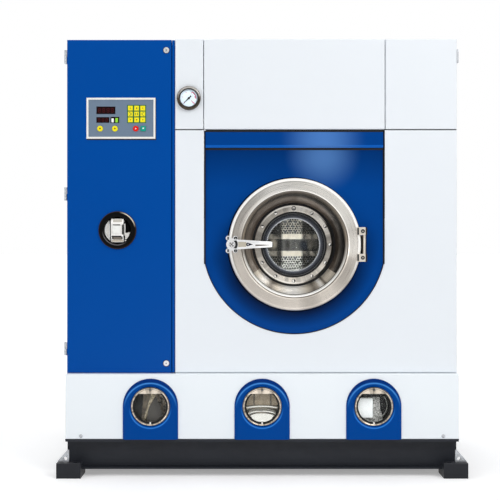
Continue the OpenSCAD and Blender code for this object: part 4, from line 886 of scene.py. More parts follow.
door_clear = clear_glass("door_glass_clear", (0.93, 0.95, 0.95, 1.0), ring=(0.114, 0.134))
sight_clear = clear_glass("sight_glass_clear", (0.95, 0.97, 0.97, 1.0))
print("glasses:", door_clear.name, sight_clear.name)

# %% [markdown]
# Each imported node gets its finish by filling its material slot. The mesh stays as it is.

# %% Finishes onto the frame
def dress(material, *names):
    for name in names:
        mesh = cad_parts[name].data
        mesh.materials.clear()
        mesh.materials.append(material)


dress(white_coat, "side_panels", "top_panel", "gauge_panel", "header_panel", "corner_panel", "front_panel",
      "rear_panel")
dress(casing_coat, "lower_casing")
dress(door_blue, "control_door", "control_cabinet")
dress(recess_blue, "door_surround")
dress(lintel_blue, "door_lintel")
dress(arch_blue, "sight_surrounds")
dress(base_coat, "base_frame")
dress(foot_coat, "feet")
dress(frame_coat, "cabinet_frame")
dress(plate_zinc, "lashing_lugs", "panel_fasteners", "cabinet_hinge_leaves", "door_hinge_leaves",
      "motor_pulley")
dress(lock_zinc, "lock_upper", "lock_lower")
dress(screw_steel, "window_screws")
dress(door_steel, "door_ring")
dress(flange_steel, "window_flange")
dress(window_steel, "sight_rings")
dress(knuckle_steel, "door_hinge_knuckles", "door_hinge_and_catch")
dress(handle_chrome, "handle_lever", "handle_bracket")
dress(bezel_chrome, "gauge_case")
dress(lever_chrome, "latch_lever")
dress(tank_steel, "solvent_tanks")
dress(tub_steel, "outer_tub")
dress(still_steel, "still")
dress(duct_zinc, "air_duct")
dress(motor_coat, "drive_motor", "solvent_pump", "electrical_gear")
dress(cast_iron, "bearing_housing", "drum_shaft_and_pulley")
dress(shell_steel, "drum_cage")
dress(back_steel, "drum_back")
dress(black_rubber, "window_gaskets", "door_seal")
dress(belt_rubber, "drive_belt")
dress(latch_black, "latch_bezel")
dress(frame_plastic, "panel_frame")
dress(plate_coat, "control_plate")
dress(display_red, "display_windows")
dress(keypad_mat, "keypad")
dress(button_yellow, "button_yellow_left", "button_yellow_right")
dress(button_red, "button_red")
dress(button_teal, "button_teal")
dress(dial_white, "gauge_dial")
dress(ink_and_shade_black, "gauge_needle")
dress(door_clear, "door_glass")
dress(sight_clear, "sight_glasses")
undressed = [name for name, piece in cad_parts.items()
             if not piece.data.materials or "_" not in piece.data.materials[0].name]
print("nodes without a finish of their own:", undressed)

# %% [markdown]
# ## Added pieces
# Thin and printed things are built here. Two builders do nearly all of them: one turns a profile
# round an axis along Y, as a lathe does, and one gives a flat outline a thickness. Both write their
# points in the model's own place, so that a piece rides on its body without being moved first.

# %% Builders
def finish_piece(name, mesh_parts, body, material, smooth=False, bevel=0.0):
    """A mesh object from a bmesh, on its body, with its finish."""
    bmesh.ops.recalc_face_normals(mesh_parts, faces=mesh_parts.faces[:])
    mesh = bpy.data.meshes.new(name)
    mesh_parts.to_mesh(mesh)
    mesh_parts.free()
    mesh.materials.append(material)
    piece = bpy.data.objects.new(name, mesh)
    bpy.context.scene.collection.objects.link(piece)
    if smooth:
        mesh.shade_smooth()
    if bevel:
        rounding = piece.modifiers.new("softened_edges", "BEVEL")
        rounding.width = bevel
        rounding.segments = 2
        rounding.limit_method = "ANGLE"
    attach(piece, body)
    return piece


def turn(parts, centre, profile, steps=64):
    """Adds a ring of the closed profile of (radius, y), turned about an axis along Y."""
    rings = []
    for step in range(steps):
        angle = 2 * math.pi * step / steps
        rings.append([parts.verts.new((centre.x + r * math.cos(angle), y, centre.z + r * math.sin(angle)))
                      for r, y in profile])
    for step in range(steps):
        one, two = rings[step], rings[(step + 1) % steps]
        for k in range(len(profile)):
            n = (k + 1) % len(profile)
            parts.faces.new((one[k], one[n], two[n], two[k]))


def thicken(parts, outline, y_front, y_back):
    """Adds a plate with that outline of (x, z)."""
    near = [parts.verts.new((x, y_front, z)) for x, z in outline]
    far = [parts.verts.new((x, y_back, z)) for x, z in outline]
    parts.faces.new(near)
    parts.faces.new(far[::-1])
    for k in range(len(outline)):
        n = (k + 1) % len(outline)
        parts.faces.new((near[k], near[n], far[n], far[k]))


def plate(name, outline, y_front, y_back, body, material, bevel=0.0):
    """A piece that is a single plate."""
    parts = bmesh.new()
    thicken(parts, outline, y_front, y_back)
    return finish_piece(name, parts, body, material, bevel=bevel)


def sloped(parts, x0, x1, lower, upper, lift, thick=0.3 * mm):
    """Adds a thin plate on a sloping face, from (z, y) to (z, y), lifted off it by lift."""
    (z0, y0), (z1, y1) = lower, upper
    ring = [(x0, y0, z0), (x1, y0, z0), (x1, y1, z1), (x0, y1, z1)]
    near = [parts.verts.new((x, y - lift, z)) for x, y, z in ring]
    far = [parts.verts.new((x, y - lift + thick, z)) for x, y, z in ring]
    parts.faces.new(near)
    parts.faces.new(far[::-1])
    for k in range(4):
        n = (k + 1) % 4
        parts.faces.new((near[k], near[n], far[n], far[k]))


def oblong(x0, x1, z0, z1):
    return [(x0, z0), (x1, z0), (x1, z1), (x0, z1)]


def disc(x, z, radius, steps=32):
    return [(x + radius * math.cos(2 * math.pi * k / steps), z + radius * math.sin(2 * math.pi * k / steps))
            for k in range(steps)]


print("builders: turn, thicken and sloped")

# %% [markdown]
# The gauge's scale has fine marks, a coloured zone at its end and a stop line. The marks stand a
# tenth of a millimetre off the dial so that they never flicker into it. A share from 0 to 1 says how
# far along the scale a thing stands, and one helper turns that share into a place.

# %% Gauge scale
dial_face = front_of("gauge_dial")
bezel_face = front_of("gauge_case")
dial_r = radius_of("gauge_dial")
scale_from, scale_span = math.radians(225), math.radians(270)


def on_dial(share, radius):
    angle = scale_from - scale_span * share
    return gauge.x + radius * math.cos(angle), gauge.z + radius * math.sin(angle)


def dial_bar(parts, share, inner, outer, half, lift=0.1 * mm):
    angle = scale_from - scale_span * share
    across = Vector((-math.sin(angle), math.cos(angle))) * half
    a, b = Vector(on_dial(share, inner)), Vector(on_dial(share, outer))
    thicken(parts, [tuple(a - across), tuple(a + across), tuple(b + across), tuple(b - across)],
            dial_face - lift, dial_face + 0.1 * mm)


ticks = bmesh.new()
for k in range(51):
    length = 4.6 if k % 10 == 0 else 3.4 if k % 5 == 0 else 2.0
    half = 0.4 if k % 10 == 0 else 0.2
    dial_bar(ticks, k / 50, dial_r - (3.4 + length) * mm, dial_r - 3.4 * mm, half * mm)
finish_piece("gauge_scale_marks", ticks, "cabinet", ink_grey)

zone = bmesh.new()
for k in range(24):
    first, last = 0.60 + 0.25 * k / 24, 0.60 + 0.25 * (k + 1) / 24
    thicken(zone, [on_dial(first, dial_r - 12 * mm), on_dial(last, dial_r - 12 * mm),
                   on_dial(last, dial_r - 8.4 * mm), on_dial(first, dial_r - 8.4 * mm)],
            dial_face - 0.12 * mm, dial_face + 0.1 * mm)
dial_bar(zone, 1.0, 14 * mm, dial_r - 5 * mm, 1.3 * mm, 0.14 * mm)
finish_piece("gauge_red_zone", zone, "cabinet", ink_red)
print("dial radius", round(dial_r, 4))

# %% [markdown]
# The numbers come from Blender's own font. A text curve is turned into a mesh, stood upright, and
# added to one bmesh, so that the whole scale is a single piece.

# %% Gauge numbers
def number(parts, text, x, z, height, y):
    """Adds a number as a thin mesh, centred on x and z, that faces the front."""
    letters = bpy.data.curves.new("number", "FONT")
    letters.body, letters.size = text, height
    letters.align_x, letters.align_y = "CENTER", "CENTER"
    letters.extrude = 0.06 * mm
    letters.resolution_u = 3
    shape = bpy.data.objects.new("number", letters)
    bpy.context.scene.collection.objects.link(shape)
    bpy.context.view_layer.update()
    solid = bpy.data.meshes.new_from_object(shape.evaluated_get(bpy.context.evaluated_depsgraph_get()))
    solid.transform(Matrix.Translation((x, y, z)) @ Matrix.Rotation(math.radians(90), 4, "X"))
    parts.from_mesh(solid)
    bpy.data.objects.remove(shape)
    bpy.data.meshes.remove(solid)
    bpy.data.curves.remove(letters)


numbers = bmesh.new()
for k in range(6):
    x, z = on_dial(k / 5, dial_r - 14.0 * mm)
    number(numbers, str(k * 2), x, z, 10.0 * mm, dial_face - 0.05 * mm)
finish_piece("gauge_numbers", numbers, "cabinet", ink_pink)
print("numbers on the dial: 0 to 10")

# %% [markdown]
# Between bezel and dial lies a black ring, which frames the dial, and in front of all a slightly
# domed lens. Both are turned: the ring from four points, the lens from a quarter of a sine.

# %% Gauge ring and lens
inner = bmesh.new()
turn(inner, gauge, [(dial_r - 3.4 * mm, bezel_face + 4 * mm), (dial_r - 0.2 * mm, bezel_face + 2.6 * mm),
                    (dial_r - 0.2 * mm, dial_face - 0.3 * mm), (dial_r - 3.4 * mm, dial_face - 0.3 * mm)])
finish_piece("gauge_inner_ring", inner, "cabinet", ink_and_shade_black)

dome = bmesh.new()
lens_r = dial_r - 3.6 * mm
rim = [(lens_r * (1 - k / 8), bezel_face + 2.6 * mm - 1.6 * mm * math.sin(math.pi / 2 * k / 8))
       for k in range(8)]
back = [(r, y + 1.4 * mm) for r, y in rim]
turn(dome, gauge, [(0.4 * mm, bezel_face + 1.0 * mm)] + rim[::-1] + back
     + [(0.4 * mm, bezel_face + 2.4 * mm)])
finish_piece("gauge_lens", dome, "cabinet", sight_clear, smooth=True)
print("lens radius", round(lens_r, 4))

# %% [markdown]
# The displays are switched off, so their digits only just show in the dark red windows: seven thin
# bars each. A helper draws one digit from its bars, and the unlit bars get a slightly lighter red. A
# black strip of painted shadow under the panel's frame comes first; it shows as a dark line below and
# to the right.

# %% Display digits
faint_red = moulded("unlit_segment", linear(92, 16, 22), rough=0.4, gloss=0.2)


def digit(parts, x, z, width, height, y):
    """Adds the seven bars of one digit round its centre."""
    bar = height * 0.1
    for row in (-1, 0, 1):
        thicken(parts, oblong(x - width / 2 + bar, x + width / 2 - bar, z + row * height / 2 - bar / 2,
                              z + row * height / 2 + bar / 2), y - 0.15 * mm, y + 0.1 * mm)
    for side in (-1, 1):
        for half in (-1, 1):
            middle_z = z + half * height / 4
            thicken(parts, oblong(x + side * width / 2 - bar / 2, x + side * width / 2 + bar / 2,
                                  middle_z - height / 4 + bar, middle_z + height / 4 - bar),
                    y - 0.15 * mm, y + 0.1 * mm)


frame_low, frame_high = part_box("panel_frame")
# painted shadow under the panel's frame
plate("panel_frame_shadow",
      oblong(frame_low.x + 1 * mm, frame_high.x + 3 * mm, frame_low.z - 5 * mm, frame_high.z - 1 * mm),
      sheet_front - 0.6 * mm, sheet_front + 0.2 * mm, "control_door", black_rubber)

window_face = front_of("display_windows")
upper_digits, lower_digits = 4, 3
digits = bmesh.new()
for k in range(upper_digits):
    digit(digits, panel.x + (-63.5 - 27 + 18 * k) * mm, panel.z + 33.5 * mm, 9.5 * mm, 17 * mm, window_face)
for k in range(lower_digits):
    digit(digits, panel.x + (-76 - 16 + 16 * k) * mm, panel.z - 7 * mm, 8.5 * mm, 13 * mm, window_face)
finish_piece("display_digits", digits, "control_door", faint_red)
print("digits drawn:", upper_digits + lower_digits)

# %% [markdown]
# Two small lamps stand in the window beside the lower display. They are unlit lenses, so they need
# colour but no light of their own. The bevel gives each a soft edge that catches the light.

# %% Indicator lamps
for name, x0, x1, z0, z1, material, slot in (
        ("indicator_lamp_white", -40, -30.5, -17, -0.5, lamp_white, "white_plastic"),
        ("indicator_lamp_green", -23.5, -13, -17, 1, lamp_green, "teal_plastic")):
    plate(name, oblong(panel.x + x0 * mm, panel.x + x1 * mm, panel.z + z0 * mm, panel.z + z1 * mm),
          window_face - 1.2 * mm, window_face + 0.1 * mm, "control_door", material, bevel=0.4 * mm)
    print(name, x1 - x0, "mm wide")

# %% [markdown]
# The buttons and keys carry small printed marks. They stay plain shapes, because a mark's only job
# is to tell one key from the next. Each mark rides on the button that carries it.

# %% Marks on keys and buttons
def mark_on(button, body, outline, material):
    """A printed mark on a button, its outline in millimetres from the button's middle."""
    spot, face = middle(button), front_of(button)
    plate(button + "_mark", [(spot.x + x * mm, spot.z + z * mm) for x, z in outline],
          face - 0.12 * mm, face + 0.2 * mm, body, material)


mark_on("button_yellow_left", "left_yellow_button", disc(0, 0, 3.6), ink_brown)
mark_on("button_yellow_right", "right_yellow_button", disc(0, 0, 3.6), ink_brown)
mark_on("button_red", "red_button", disc(0, 0, 4.0, 3), lamp_white)
mark_on("button_teal", "teal_button", oblong(-3, 3, -1, 4), lamp_white)

key_face = front_of("keypad")
keypad_mid = middle("keypad")
square_marks, arrow_marks = bmesh.new(), bmesh.new()
for column in (-1, 0, 1):
    x = keypad_mid.x + column * 26 * mm
    for row in (-1, 1):
        z = keypad_mid.z + row * 24.5 * mm
        corners = 4 if column else 16
        thicken(square_marks, disc(x, z, 2.8 * mm, corners), key_face - 0.12 * mm, key_face + 0.2 * mm)
    point = 5 * mm if column < 0 else -5 * mm
    z = keypad_mid.z
    for half in (-1, 1):
        if column:
            arm = [(x - point, z + half * 6 * mm), (x + point, z), (x + point, z + half * 2.4 * mm),
                   (x - point, z + half * 8.4 * mm)]
        else:
            arm = oblong(x + half * 4 * mm - 1.2 * mm, x + half * 4 * mm + 1.2 * mm, z - 5 * mm, z + 5 * mm)
        thicken(arrow_marks, arm, key_face - (0.12 + 0.02 * half) * mm, key_face + 0.2 * mm)
finish_piece("keypad_marks", square_marks, "control_door", ink_brown)
finish_piece("keypad_arrows", arrow_marks, "control_door", key_green)
print("marks on the keypad stand at", round(key_face, 4))

# %% [markdown]
# The blue surround sits in the front panel with a gap all round it, and a black strip deep in the gap
# is painted shadow. The strip follows the panel's opening: an arc below and two straight sides above.
# Round the arc the panel's own edge is turned in, so there a white bead covers half of the gap. One
# builder makes both, from the distances at which they begin and end inside the opening.

# %% Strips of the recess
lintel_low, lintel_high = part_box("door_lintel")
header_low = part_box("header_panel")[0].z
half_opening, arc_r, arc_z = 380 * mm, 391 * mm, door.z + 10 * mm


def arc_of_opening(inward, steps=72):
    """Points along the rounded bottom of the opening, moved inwards."""
    half, radius = half_opening - inward, arc_r - inward
    corner = math.acos(half / radius)
    angles = [math.pi + corner + (math.pi - 2 * corner) * k / steps for k in range(steps + 1)]
    return [(door.x + radius * math.cos(a), arc_z + radius * math.sin(a)) for a in angles]


def strip(name, outer, inner_line, y_front, y_back, material):
    """A closed strip between two lines, from y_front to y_back."""
    parts = bmesh.new()
    loops = [[parts.verts.new((x, y, z)) for x, z in line] for line, y in
             ((outer, y_front), (inner_line, y_front), (inner_line, y_back), (outer, y_back))]
    for k in range(len(outer) - 1):
        for a, b in ((0, 1), (1, 2), (2, 3), (3, 0)):
            parts.faces.new((loops[a][k], loops[a][k + 1], loops[b][k + 1], loops[b][k]))
    for k in (0, -1):
        parts.faces.new([loop[k] for loop in loops])
    return finish_piece(name, parts, "cabinet", material)


def whole_opening(inward):
    top = header_low - 4 * mm
    half = half_opening - inward
    return [(door.x - half, top)] + arc_of_opening(inward) + [(door.x + half, top)]


# painted shadow deep in the gap round the surround
strip("recess_gap_shadow", whole_opening(0.4 * mm), whole_opening(6.6 * mm),
      sheet_front + 13 * mm, sheet_front + 19 * mm, black_rubber)
strip("opening_bead", arc_of_opening(0.1 * mm), arc_of_opening(3.4 * mm),
      sheet_front + 0.6 * mm, sheet_front + 12.6 * mm, white_coat)

surround_face = front_of("door_surround")
# painted shadows in the gaps below and above the lintel
lintel_shadow_strips = bmesh.new()
thicken(lintel_shadow_strips, oblong(lintel_low.x, lintel_high.x, lintel_low.z - 9 * mm, lintel_low.z - 0.2 * mm),
        surround_face - 1.5 * mm, surround_face - 0.1 * mm)
thicken(lintel_shadow_strips, oblong(lintel_low.x, lintel_high.x, lintel_high.z + 0.3 * mm, header_low - 1 * mm),
        sheet_front + 6 * mm, sheet_front + 9 * mm)
finish_piece("lintel_gap_shadows", lintel_shadow_strips, "cabinet", black_rubber, bevel=0.3 * mm)
print("surround face", round(surround_face, 4), "lintel", round(lintel_low.z, 3), round(lintel_high.z, 3))

# %% [markdown]
# The header panels rest on the front panel with a fine joint between them, which shows as a dark line
# on both sides of the opening. A strip of rubber three millimetres high stands in it.

# %% Joint under the header
joint = bmesh.new()
for x0, x1 in ((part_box("gauge_panel")[0].x + 2 * mm, door.x - half_opening),
               (door.x + half_opening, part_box("corner_panel")[1].x - 3 * mm)):
    thicken(joint, oblong(x0, x1, header_low - 3.2 * mm, header_low - 0.2 * mm),
            sheet_front + 0.8 * mm, sheet_front + 3 * mm)
finish_piece("header_joint_strip", joint, "cabinet", black_rubber)
print("header joint at height", round(header_low, 3))

# %% [markdown]
# ## Behind the sight glasses
# Each glass is held by its ring against a black gasket, and a small clip at the bottom keeps the
# ring from turning. What shows behind differs from tank to tank. On the left is a lint filter, a
# dark rough disc with the pale edge of its strap. In the middle one looks past a tan partition into
# the polished bowl of the tank. On the right hangs a white float plate in front of crusted steel.
# All of it stands close behind the glass, where the light reaches.

# %% Gaskets and clips
ring_face = front_of("sight_rings")
for spot, side in zip(windows, ("left", "middle", "right")):
    gasket = bmesh.new()
    turn(gasket, Vector((spot.x, 0, window_z)),
         [(65.5 * mm, ring_face + 11 * mm), (71.8 * mm, ring_face + 9 * mm),
          (71.8 * mm, ring_face + 15.8 * mm), (65.5 * mm, ring_face + 15.8 * mm)])
    finish_piece(side + "_glass_gasket", gasket, "cabinet", black_rubber)
    plate(side + "_glass_clip",
          [(spot.x + x * mm, window_z + z * mm) for x, z in ((-4, -72.5), (4, -72.5), (2, -64), (-2, -64))],
          ring_face + 3 * mm, ring_face + 10 * mm, "cabinet", lever_chrome, bevel=1.0 * mm)
print("gaskets and clips behind", round(ring_face, 4))

# %% [markdown]
# The plate over the top of each glass is held by one screw. From the front it is a dark seat with a
# bright spot on its head, so two thin shapes are enough for each.

# %% Screws of the sight plates
seats, heads = bmesh.new(), bmesh.new()
for spot in windows:
    z = window_z + 69 * mm
    thicken(seats, disc(spot.x, z, 5.2 * mm, 24), ring_face - 0.1 * mm, ring_face + 0.4 * mm)
    thicken(heads, disc(spot.x, z + 0.4 * mm, 2.2 * mm, 24), ring_face - 0.2 * mm, ring_face + 0.4 * mm)
    thicken(seats, oblong(spot.x - 1 * mm, spot.x + 1 * mm, z - 5 * mm, z + 5 * mm),
            ring_face - 0.3 * mm, ring_face + 0.4 * mm)
finish_piece("sight_plate_screw_seats", seats, "cabinet", ink_and_shade_black)
finish_piece("sight_plate_screw_heads", heads, "cabinet", lever_chrome)
print("screws at height", round(z, 3))

# %% [markdown]
# The inside pieces are plain shapes with strong surfaces. A crust of noise with high contrast looks
# like lint and dried residue. The bowl is a real dish turned about a line through its middle, so its
# bright bands bend by themselves when the camera moves.

# %% Surfaces inside the tanks
def crusted(name, dark, painted_highlight, size, rough=0.5, metal=0.2, depth=0.0008):
    material, tree, shader = new_finish(name, dark, rough, metal=metal)
    crust = cloud(tree, size, 6.0)
    surface(shader, mixed(between(crust, 0.0, 1.0, 0.38, 0.64), dark, painted_highlight),
            between(crust, rough - 0.1, rough + 0.15), bumps=crust, depth=depth)
    return material


lint = crusted("lint_grey", linear(20, 18, 17), linear(92, 86, 80), 240.0)
strap = crusted("strap_beige", linear(110, 96, 74), linear(214, 200, 170), 150.0)
old_steel = crusted("stained_steel", linear(44, 38, 31), linear(128, 114, 96), 90.0)
tan_steel = crusted("tan_partition", linear(146, 130, 108), linear(176, 160, 138), 30.0, 0.4, 0.3, 0.0002)
tan_seam = crusted("partition_seam", linear(92, 82, 70), linear(130, 118, 102), 40.0, 0.4, 0.3, 0.0002)
float_white = crusted("float_white", linear(250, 250, 250), linear(255, 255, 255), 40.0, 0.5, 0.0, 0.0001)
residue = crusted("pale_residue", linear(104, 102, 98), linear(206, 204, 200), 200.0)
void_black = crusted("shaded_wall", linear(12, 12, 12), linear(30, 29, 28), 60.0)
bowl_steel = plated("polished_bowl", linear(252, 248, 240), rough=0.12, wear=0.05, metal=0.9)
print("surfaces inside the tanks:", lint.name, strap.name, tan_steel.name, residue.name)

# %% [markdown]
# Shapes are given in millimetres from the centre of their window. Each call names the piece, its
# outline and how far behind the ring it stands, and the one in front hides part of the next.

# %% Left and right tanks
def behind_glass(name, spot, outline, depth, material, thick=2.0):
    return plate(name, [(spot.x + x * mm, window_z + z * mm) for x, z in outline],
                 ring_face + depth * mm, ring_face + (depth + thick) * mm, "cabinet", material)


def arc_points(cx, cz, radius, first, last, steps=24):
    return [(cx + radius * math.cos(math.radians(first + (last - first) * k / steps)),
             cz + radius * math.sin(math.radians(first + (last - first) * k / steps)))
            for k in range(steps + 1)]


pane = [(-90, -90), (90, -90), (90, 85), (-90, 85)]
left, centre_spot, right = windows
behind_glass("left_tank_wall", left, pane, 60, old_steel)
behind_glass("left_tank_corner", left, [(-90, -90), (-44, -90), (-30, 85), (-90, 85)],
             55, void_black)
behind_glass("left_tank_strap", left,
             [(-34, -70), (-16, -46), (2, 10), (20, 44), (34, 66), (4, 66), (-8, 20), (-24, -30)],
             50, strap)
behind_glass("left_tank_filter", left, arc_points(75, -42, 90, 125, 275), 40, lint)
behind_glass("right_tank_wall", right, pane, 66, void_black)
behind_glass("right_tank_residue", right,
             [(-70, -75), (45, -75), (38, -36), (31, -20), (29, 33), (-74, 33), (-76, -30)],
             56, residue)
behind_glass("right_tank_float", right, [(-80, -52), (-1, -52), (-1, 29), (-80, 29)],
             46, float_white)
hose = arc_points(0, 0, 60, -48, 40) + arc_points(0, 0, 57.5, 40, -48)
behind_glass("right_tank_hose", right, hose, 42, residue)
print("panes behind the left and right glass are", pane[1][0] - pane[0][0], "mm wide")

# %% [markdown]
# The middle tank: a tan partition with two seams above, and below it the dish. The dish is a stack
# of steps of an ellipse, each lower and further forward than the last one, so light from above makes
# bright and dark bands on it in turn.

# %% Middle tank
behind_glass("middle_tank_partition", centre_spot, [(-80, -4), (80, -4), (80, 80), (-80, 80)],
             66, tan_steel)
for at, side in ((-33, "left"), (37, "right")):
    behind_glass("middle_tank_seam_" + side, centre_spot,
                 [(at - 4, -3), (at + 4, -3), (at + 3, 75), (at - 3, 75)], 65, tan_seam, 0.8)
dish = bmesh.new()
levels = [(0, 64, 84), (-6, 62, 80), (-13, 60, 62), (-15, 52, 60), (-27, 50, 58), (-31, 44, 56),
          (-33, 38, 44), (-50, 36, 40), (-58, 30, 20), (-80, 28, 10)]
rows = []
for drop, depth, half in levels:
    rows.append([dish.verts.new((centre_spot.x + half * mm * math.sin(a),
                                 ring_face + depth * mm - 6 * mm * (1 - math.cos(a)),
                                 window_z + (drop - 14 * (1 - math.cos(a))) * mm))
                 for a in (math.radians(-88 + 176 * k / 32) for k in range(33))])
for upper, lower in zip(rows, rows[1:]):
    for k in range(32):
        dish.faces.new((upper[k], upper[k + 1], lower[k + 1], lower[k]))
dish_piece = finish_piece("middle_tank_bowl", dish, "cabinet", bowl_steel, smooth=True)
sheet_metal = dish_piece.modifiers.new("sheet", "SOLIDIFY")
sheet_metal.thickness = 1.5 * mm
behind_glass("middle_tank_shade", centre_spot, [(-85, -85), (85, -85), (85, -2), (-85, -2)],
             72, void_black)
print("bands of the bowl:", len(levels) - 1)

# %% [markdown]
# A lock needs a place for its key. It is a small dark disc that stands a tenth of a millimetre off the
# lock and turns with it. The thin rubber washer under the lock stays on the door.

# %% Locks
for name, body in (("lock_upper", "upper_lock"), ("lock_lower", "lower_lock")):
    low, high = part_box(name)
    x, z = (low.x + high.x) / 2, high.z - 12 * mm
    plate(name + "_key_hole", disc(x, z, 2.6 * mm, 24), low.y - 0.12 * mm, low.y + 0.2 * mm, body,
          ink_grey)
    washer = bmesh.new()
    turn(washer, Vector((x, 0, z)),
         [(12.2 * mm, sheet_front - 0.4 * mm), (14.6 * mm, sheet_front - 0.2 * mm),
          (14.6 * mm, sheet_front + 0.2 * mm), (12.2 * mm, sheet_front + 0.2 * mm)], 32)
    finish_piece(name + "_washer", washer, "control_door", black_rubber)
    print(name, "is locked at height", round(z, 3))

# %% [markdown]
# The lever of the loading door turns on a screw with a crossed slot. Its arm is pressed: a web behind
# the hub, a groove towards the tip, and a drop-shaped hole, whose dark reflection is painted on a dark
# blue plate behind it, with a painted glint. Thin inlays give each its own finish, and they ride on the
# handle; the black half moon beside the hub and the black block at the tip are painted shade. The
# screw's marks lie just behind the lever's front, so that nothing makes the machine deeper.

# %% Handle
def cross_slot(parts, x, z, length, width, y, turned=45):
    """Adds two crossed bars, the slots of a screw's driver."""
    for step, angle in enumerate((turned, turned + 90)):
        a = math.radians(angle)
        along = Vector((math.cos(a), math.sin(a))) * length
        across = Vector((-math.sin(a), math.cos(a))) * width
        c = Vector((x, z))
        thicken(parts, [tuple(c - along - across), tuple(c + along - across), tuple(c + along + across),
                        tuple(c - along + across)], y - 0.15 * mm - step * 0.02 * mm, y + 0.3 * mm)


def on_handle(name, outline, y_front, y_back, material):
    """A thin inlay on the handle. Places are in millimetres from its hub and from its front."""
    return plate(name, [(hub.x + x * mm, hub.z + z * mm) for x, z in outline],
                 lever[0].y + y_front * mm, lever[0].y + y_back * mm, "handle", material)


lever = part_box("handle_lever")
hub = Vector((lever[0].x + 22 * mm, 0, (lever[0].z + lever[1].z) / 2))
cross = bmesh.new()
cross_slot(cross, hub.x, hub.z, 9 * mm, 1.8 * mm, lever[0].y + 0.15 * mm)
turn(cross, hub, [(9.4 * mm, lever[0].y), (11 * mm, lever[0].y),
                  (11 * mm, lever[0].y + 0.2 * mm), (9.4 * mm, lever[0].y + 0.2 * mm)], 40)
finish_piece("handle_screw_cross", cross, "handle", groove_grey)

half_moon = [(25.5 * math.cos(a), 25.5 * math.sin(a))
             for a in (math.radians(-42 + 84 * k / 16) for k in range(17))]
half_moon += [(17.4 * math.cos(a) - 1.6, 17.4 * math.sin(a))
              for a in (math.radians(58 - 116 * k / 16) for k in range(17))]
# painted shade beside the hub and at the tip, and a painted reflection with a painted glint in the hole
on_handle("handle_hub_shade", half_moon, 0.8, 1.3, ink_and_shade_black)
on_handle("handle_web", [(27, -11), (60, -9.6), (60, 9.6), (27, 11)], 5.8, 6.3, web_beige)
on_handle("handle_groove_line", [(98, -6.4), (157, -3.8), (157, -1.0), (98, -0.6)], 5.7, 6.3, groove_grey)
on_handle("handle_hole_reflection", oblong(57, 90, -8.5, 8.5), 12, 13.5, hole_reflection_blue)
on_handle("handle_hole_glint", disc(67.5, 0.6, 2.4, 16), 11.6, 12.4, glint_white)
on_handle("handle_tip_shadow", oblong(166.6, 171.5, -7.5, 5.5), 5, 14, ink_and_shade_black)
print("handle hub at", [round(v, 3) for v in hub])

# %% [markdown]
# The plate under the hub is held by four screws. On its right side two show as dark discs with a
# painted glint.
# On its left the hub hides all but their upright edges, so two dark bars stand for them there.

# %% Screws of the handle's plate
plate_marks, glints = bmesh.new(), bmesh.new()
ring_plane = front_of("door_ring")
for aside in (-26 * mm, 26 * mm):
    z = hub.z + aside
    thicken(plate_marks, disc(hub.x + 16 * mm, z, 7.0 * mm, 20),
            ring_plane - 11.15 * mm, ring_plane - 10.8 * mm)
    thicken(plate_marks, oblong(hub.x - 18.4 * mm, hub.x - 12.0 * mm, z - 6 * mm, z + 6 * mm),
            ring_plane - 11.15 * mm, ring_plane - 10.8 * mm)
    # painted glints on the two right screws
    thicken(glints, disc(hub.x + 17 * mm, z - 1.2 * mm, 1.9 * mm, 12),
            ring_plane - 11.3 * mm, ring_plane - 10.8 * mm)
finish_piece("handle_plate_screws", plate_marks, "loading_door", ink_and_shade_black)
finish_piece("handle_plate_glints", glints, "loading_door", glint_white)
print("the plate's front is", round((ring_plane - lever[0].y) * 1000 - 10.8, 1), "mm behind the lever's")

# %% [markdown]
# The hinge of the loading door has a slotted screw in each block and a dark gap between block and
# leaf, which move with the door. Behind it, flat black strips on the recess along the hinge and its far
# edge are painted shadow. They show as the dark line round the hinge, and they stay on the cabinet.

# %% Hinge
knuckle_low, knuckle_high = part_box("door_hinge_knuckles")
screw_x = knuckle_high.x - 20 * mm
hinge_slots = bmesh.new()
for z in (knuckle_high.z - 16.5 * mm, knuckle_low.z + 16.5 * mm):
    turn(hinge_slots, Vector((screw_x, 0, z)),
         [(3.2 * mm, knuckle_low.y - 0.15 * mm), (8.0 * mm, knuckle_low.y - 0.15 * mm),
          (8.0 * mm, knuckle_low.y + 0.3 * mm), (3.2 * mm, knuckle_low.y + 0.3 * mm)], 24)
    thicken(hinge_slots, oblong(screw_x - 1 * mm, screw_x + 1 * mm, z - 5 * mm, z + 5 * mm),
            knuckle_low.y - 0.15 * mm, knuckle_low.y + 0.3 * mm)
finish_piece("hinge_screw_slots", hinge_slots, "loading_door", ink_and_shade_black)

# painted shadow round the hinge, on the recess
hinge_shadow = bmesh.new()
thicken(hinge_shadow, oblong(knuckle_high.x - 26 * mm, knuckle_high.x - 12 * mm,
                       knuckle_low.z + 34 * mm, knuckle_high.z - 34 * mm),
        surround_face - 3 * mm, surround_face - 0.1 * mm)
thicken(hinge_shadow, oblong(knuckle_high.x - 9 * mm, knuckle_high.x + 1.5 * mm,
                       knuckle_low.z - 2 * mm, knuckle_high.z + 1 * mm),
        surround_face - 0.8 * mm, surround_face - 0.1 * mm)
finish_piece("hinge_shadow_strips", hinge_shadow, "cabinet", black_rubber)

leaf_gaps = bmesh.new()
for low, high in ((knuckle_high.z - 31 * mm, knuckle_high.z - 3 * mm),
                  (knuckle_low.z + 3 * mm, knuckle_low.z + 31 * mm)):
    thicken(leaf_gaps, oblong(knuckle_high.x - 43 * mm, knuckle_high.x - 36.5 * mm, low, high),
            knuckle_low.y - 0.15 * mm, knuckle_low.y + 0.3 * mm)
finish_piece("hinge_leaf_gaps", leaf_gaps, "loading_door", ink_and_shade_black)
print("hinge screws at x", round(screw_x, 3))

# %% [markdown]
# The glass frame's screws sit in countersunk seats. The seat's shadow is what the eye finds first,
# so each screw gets a thin dark collar of painted shadow and a dark half disc of painted shade on its
# head, both lying just off the steel.

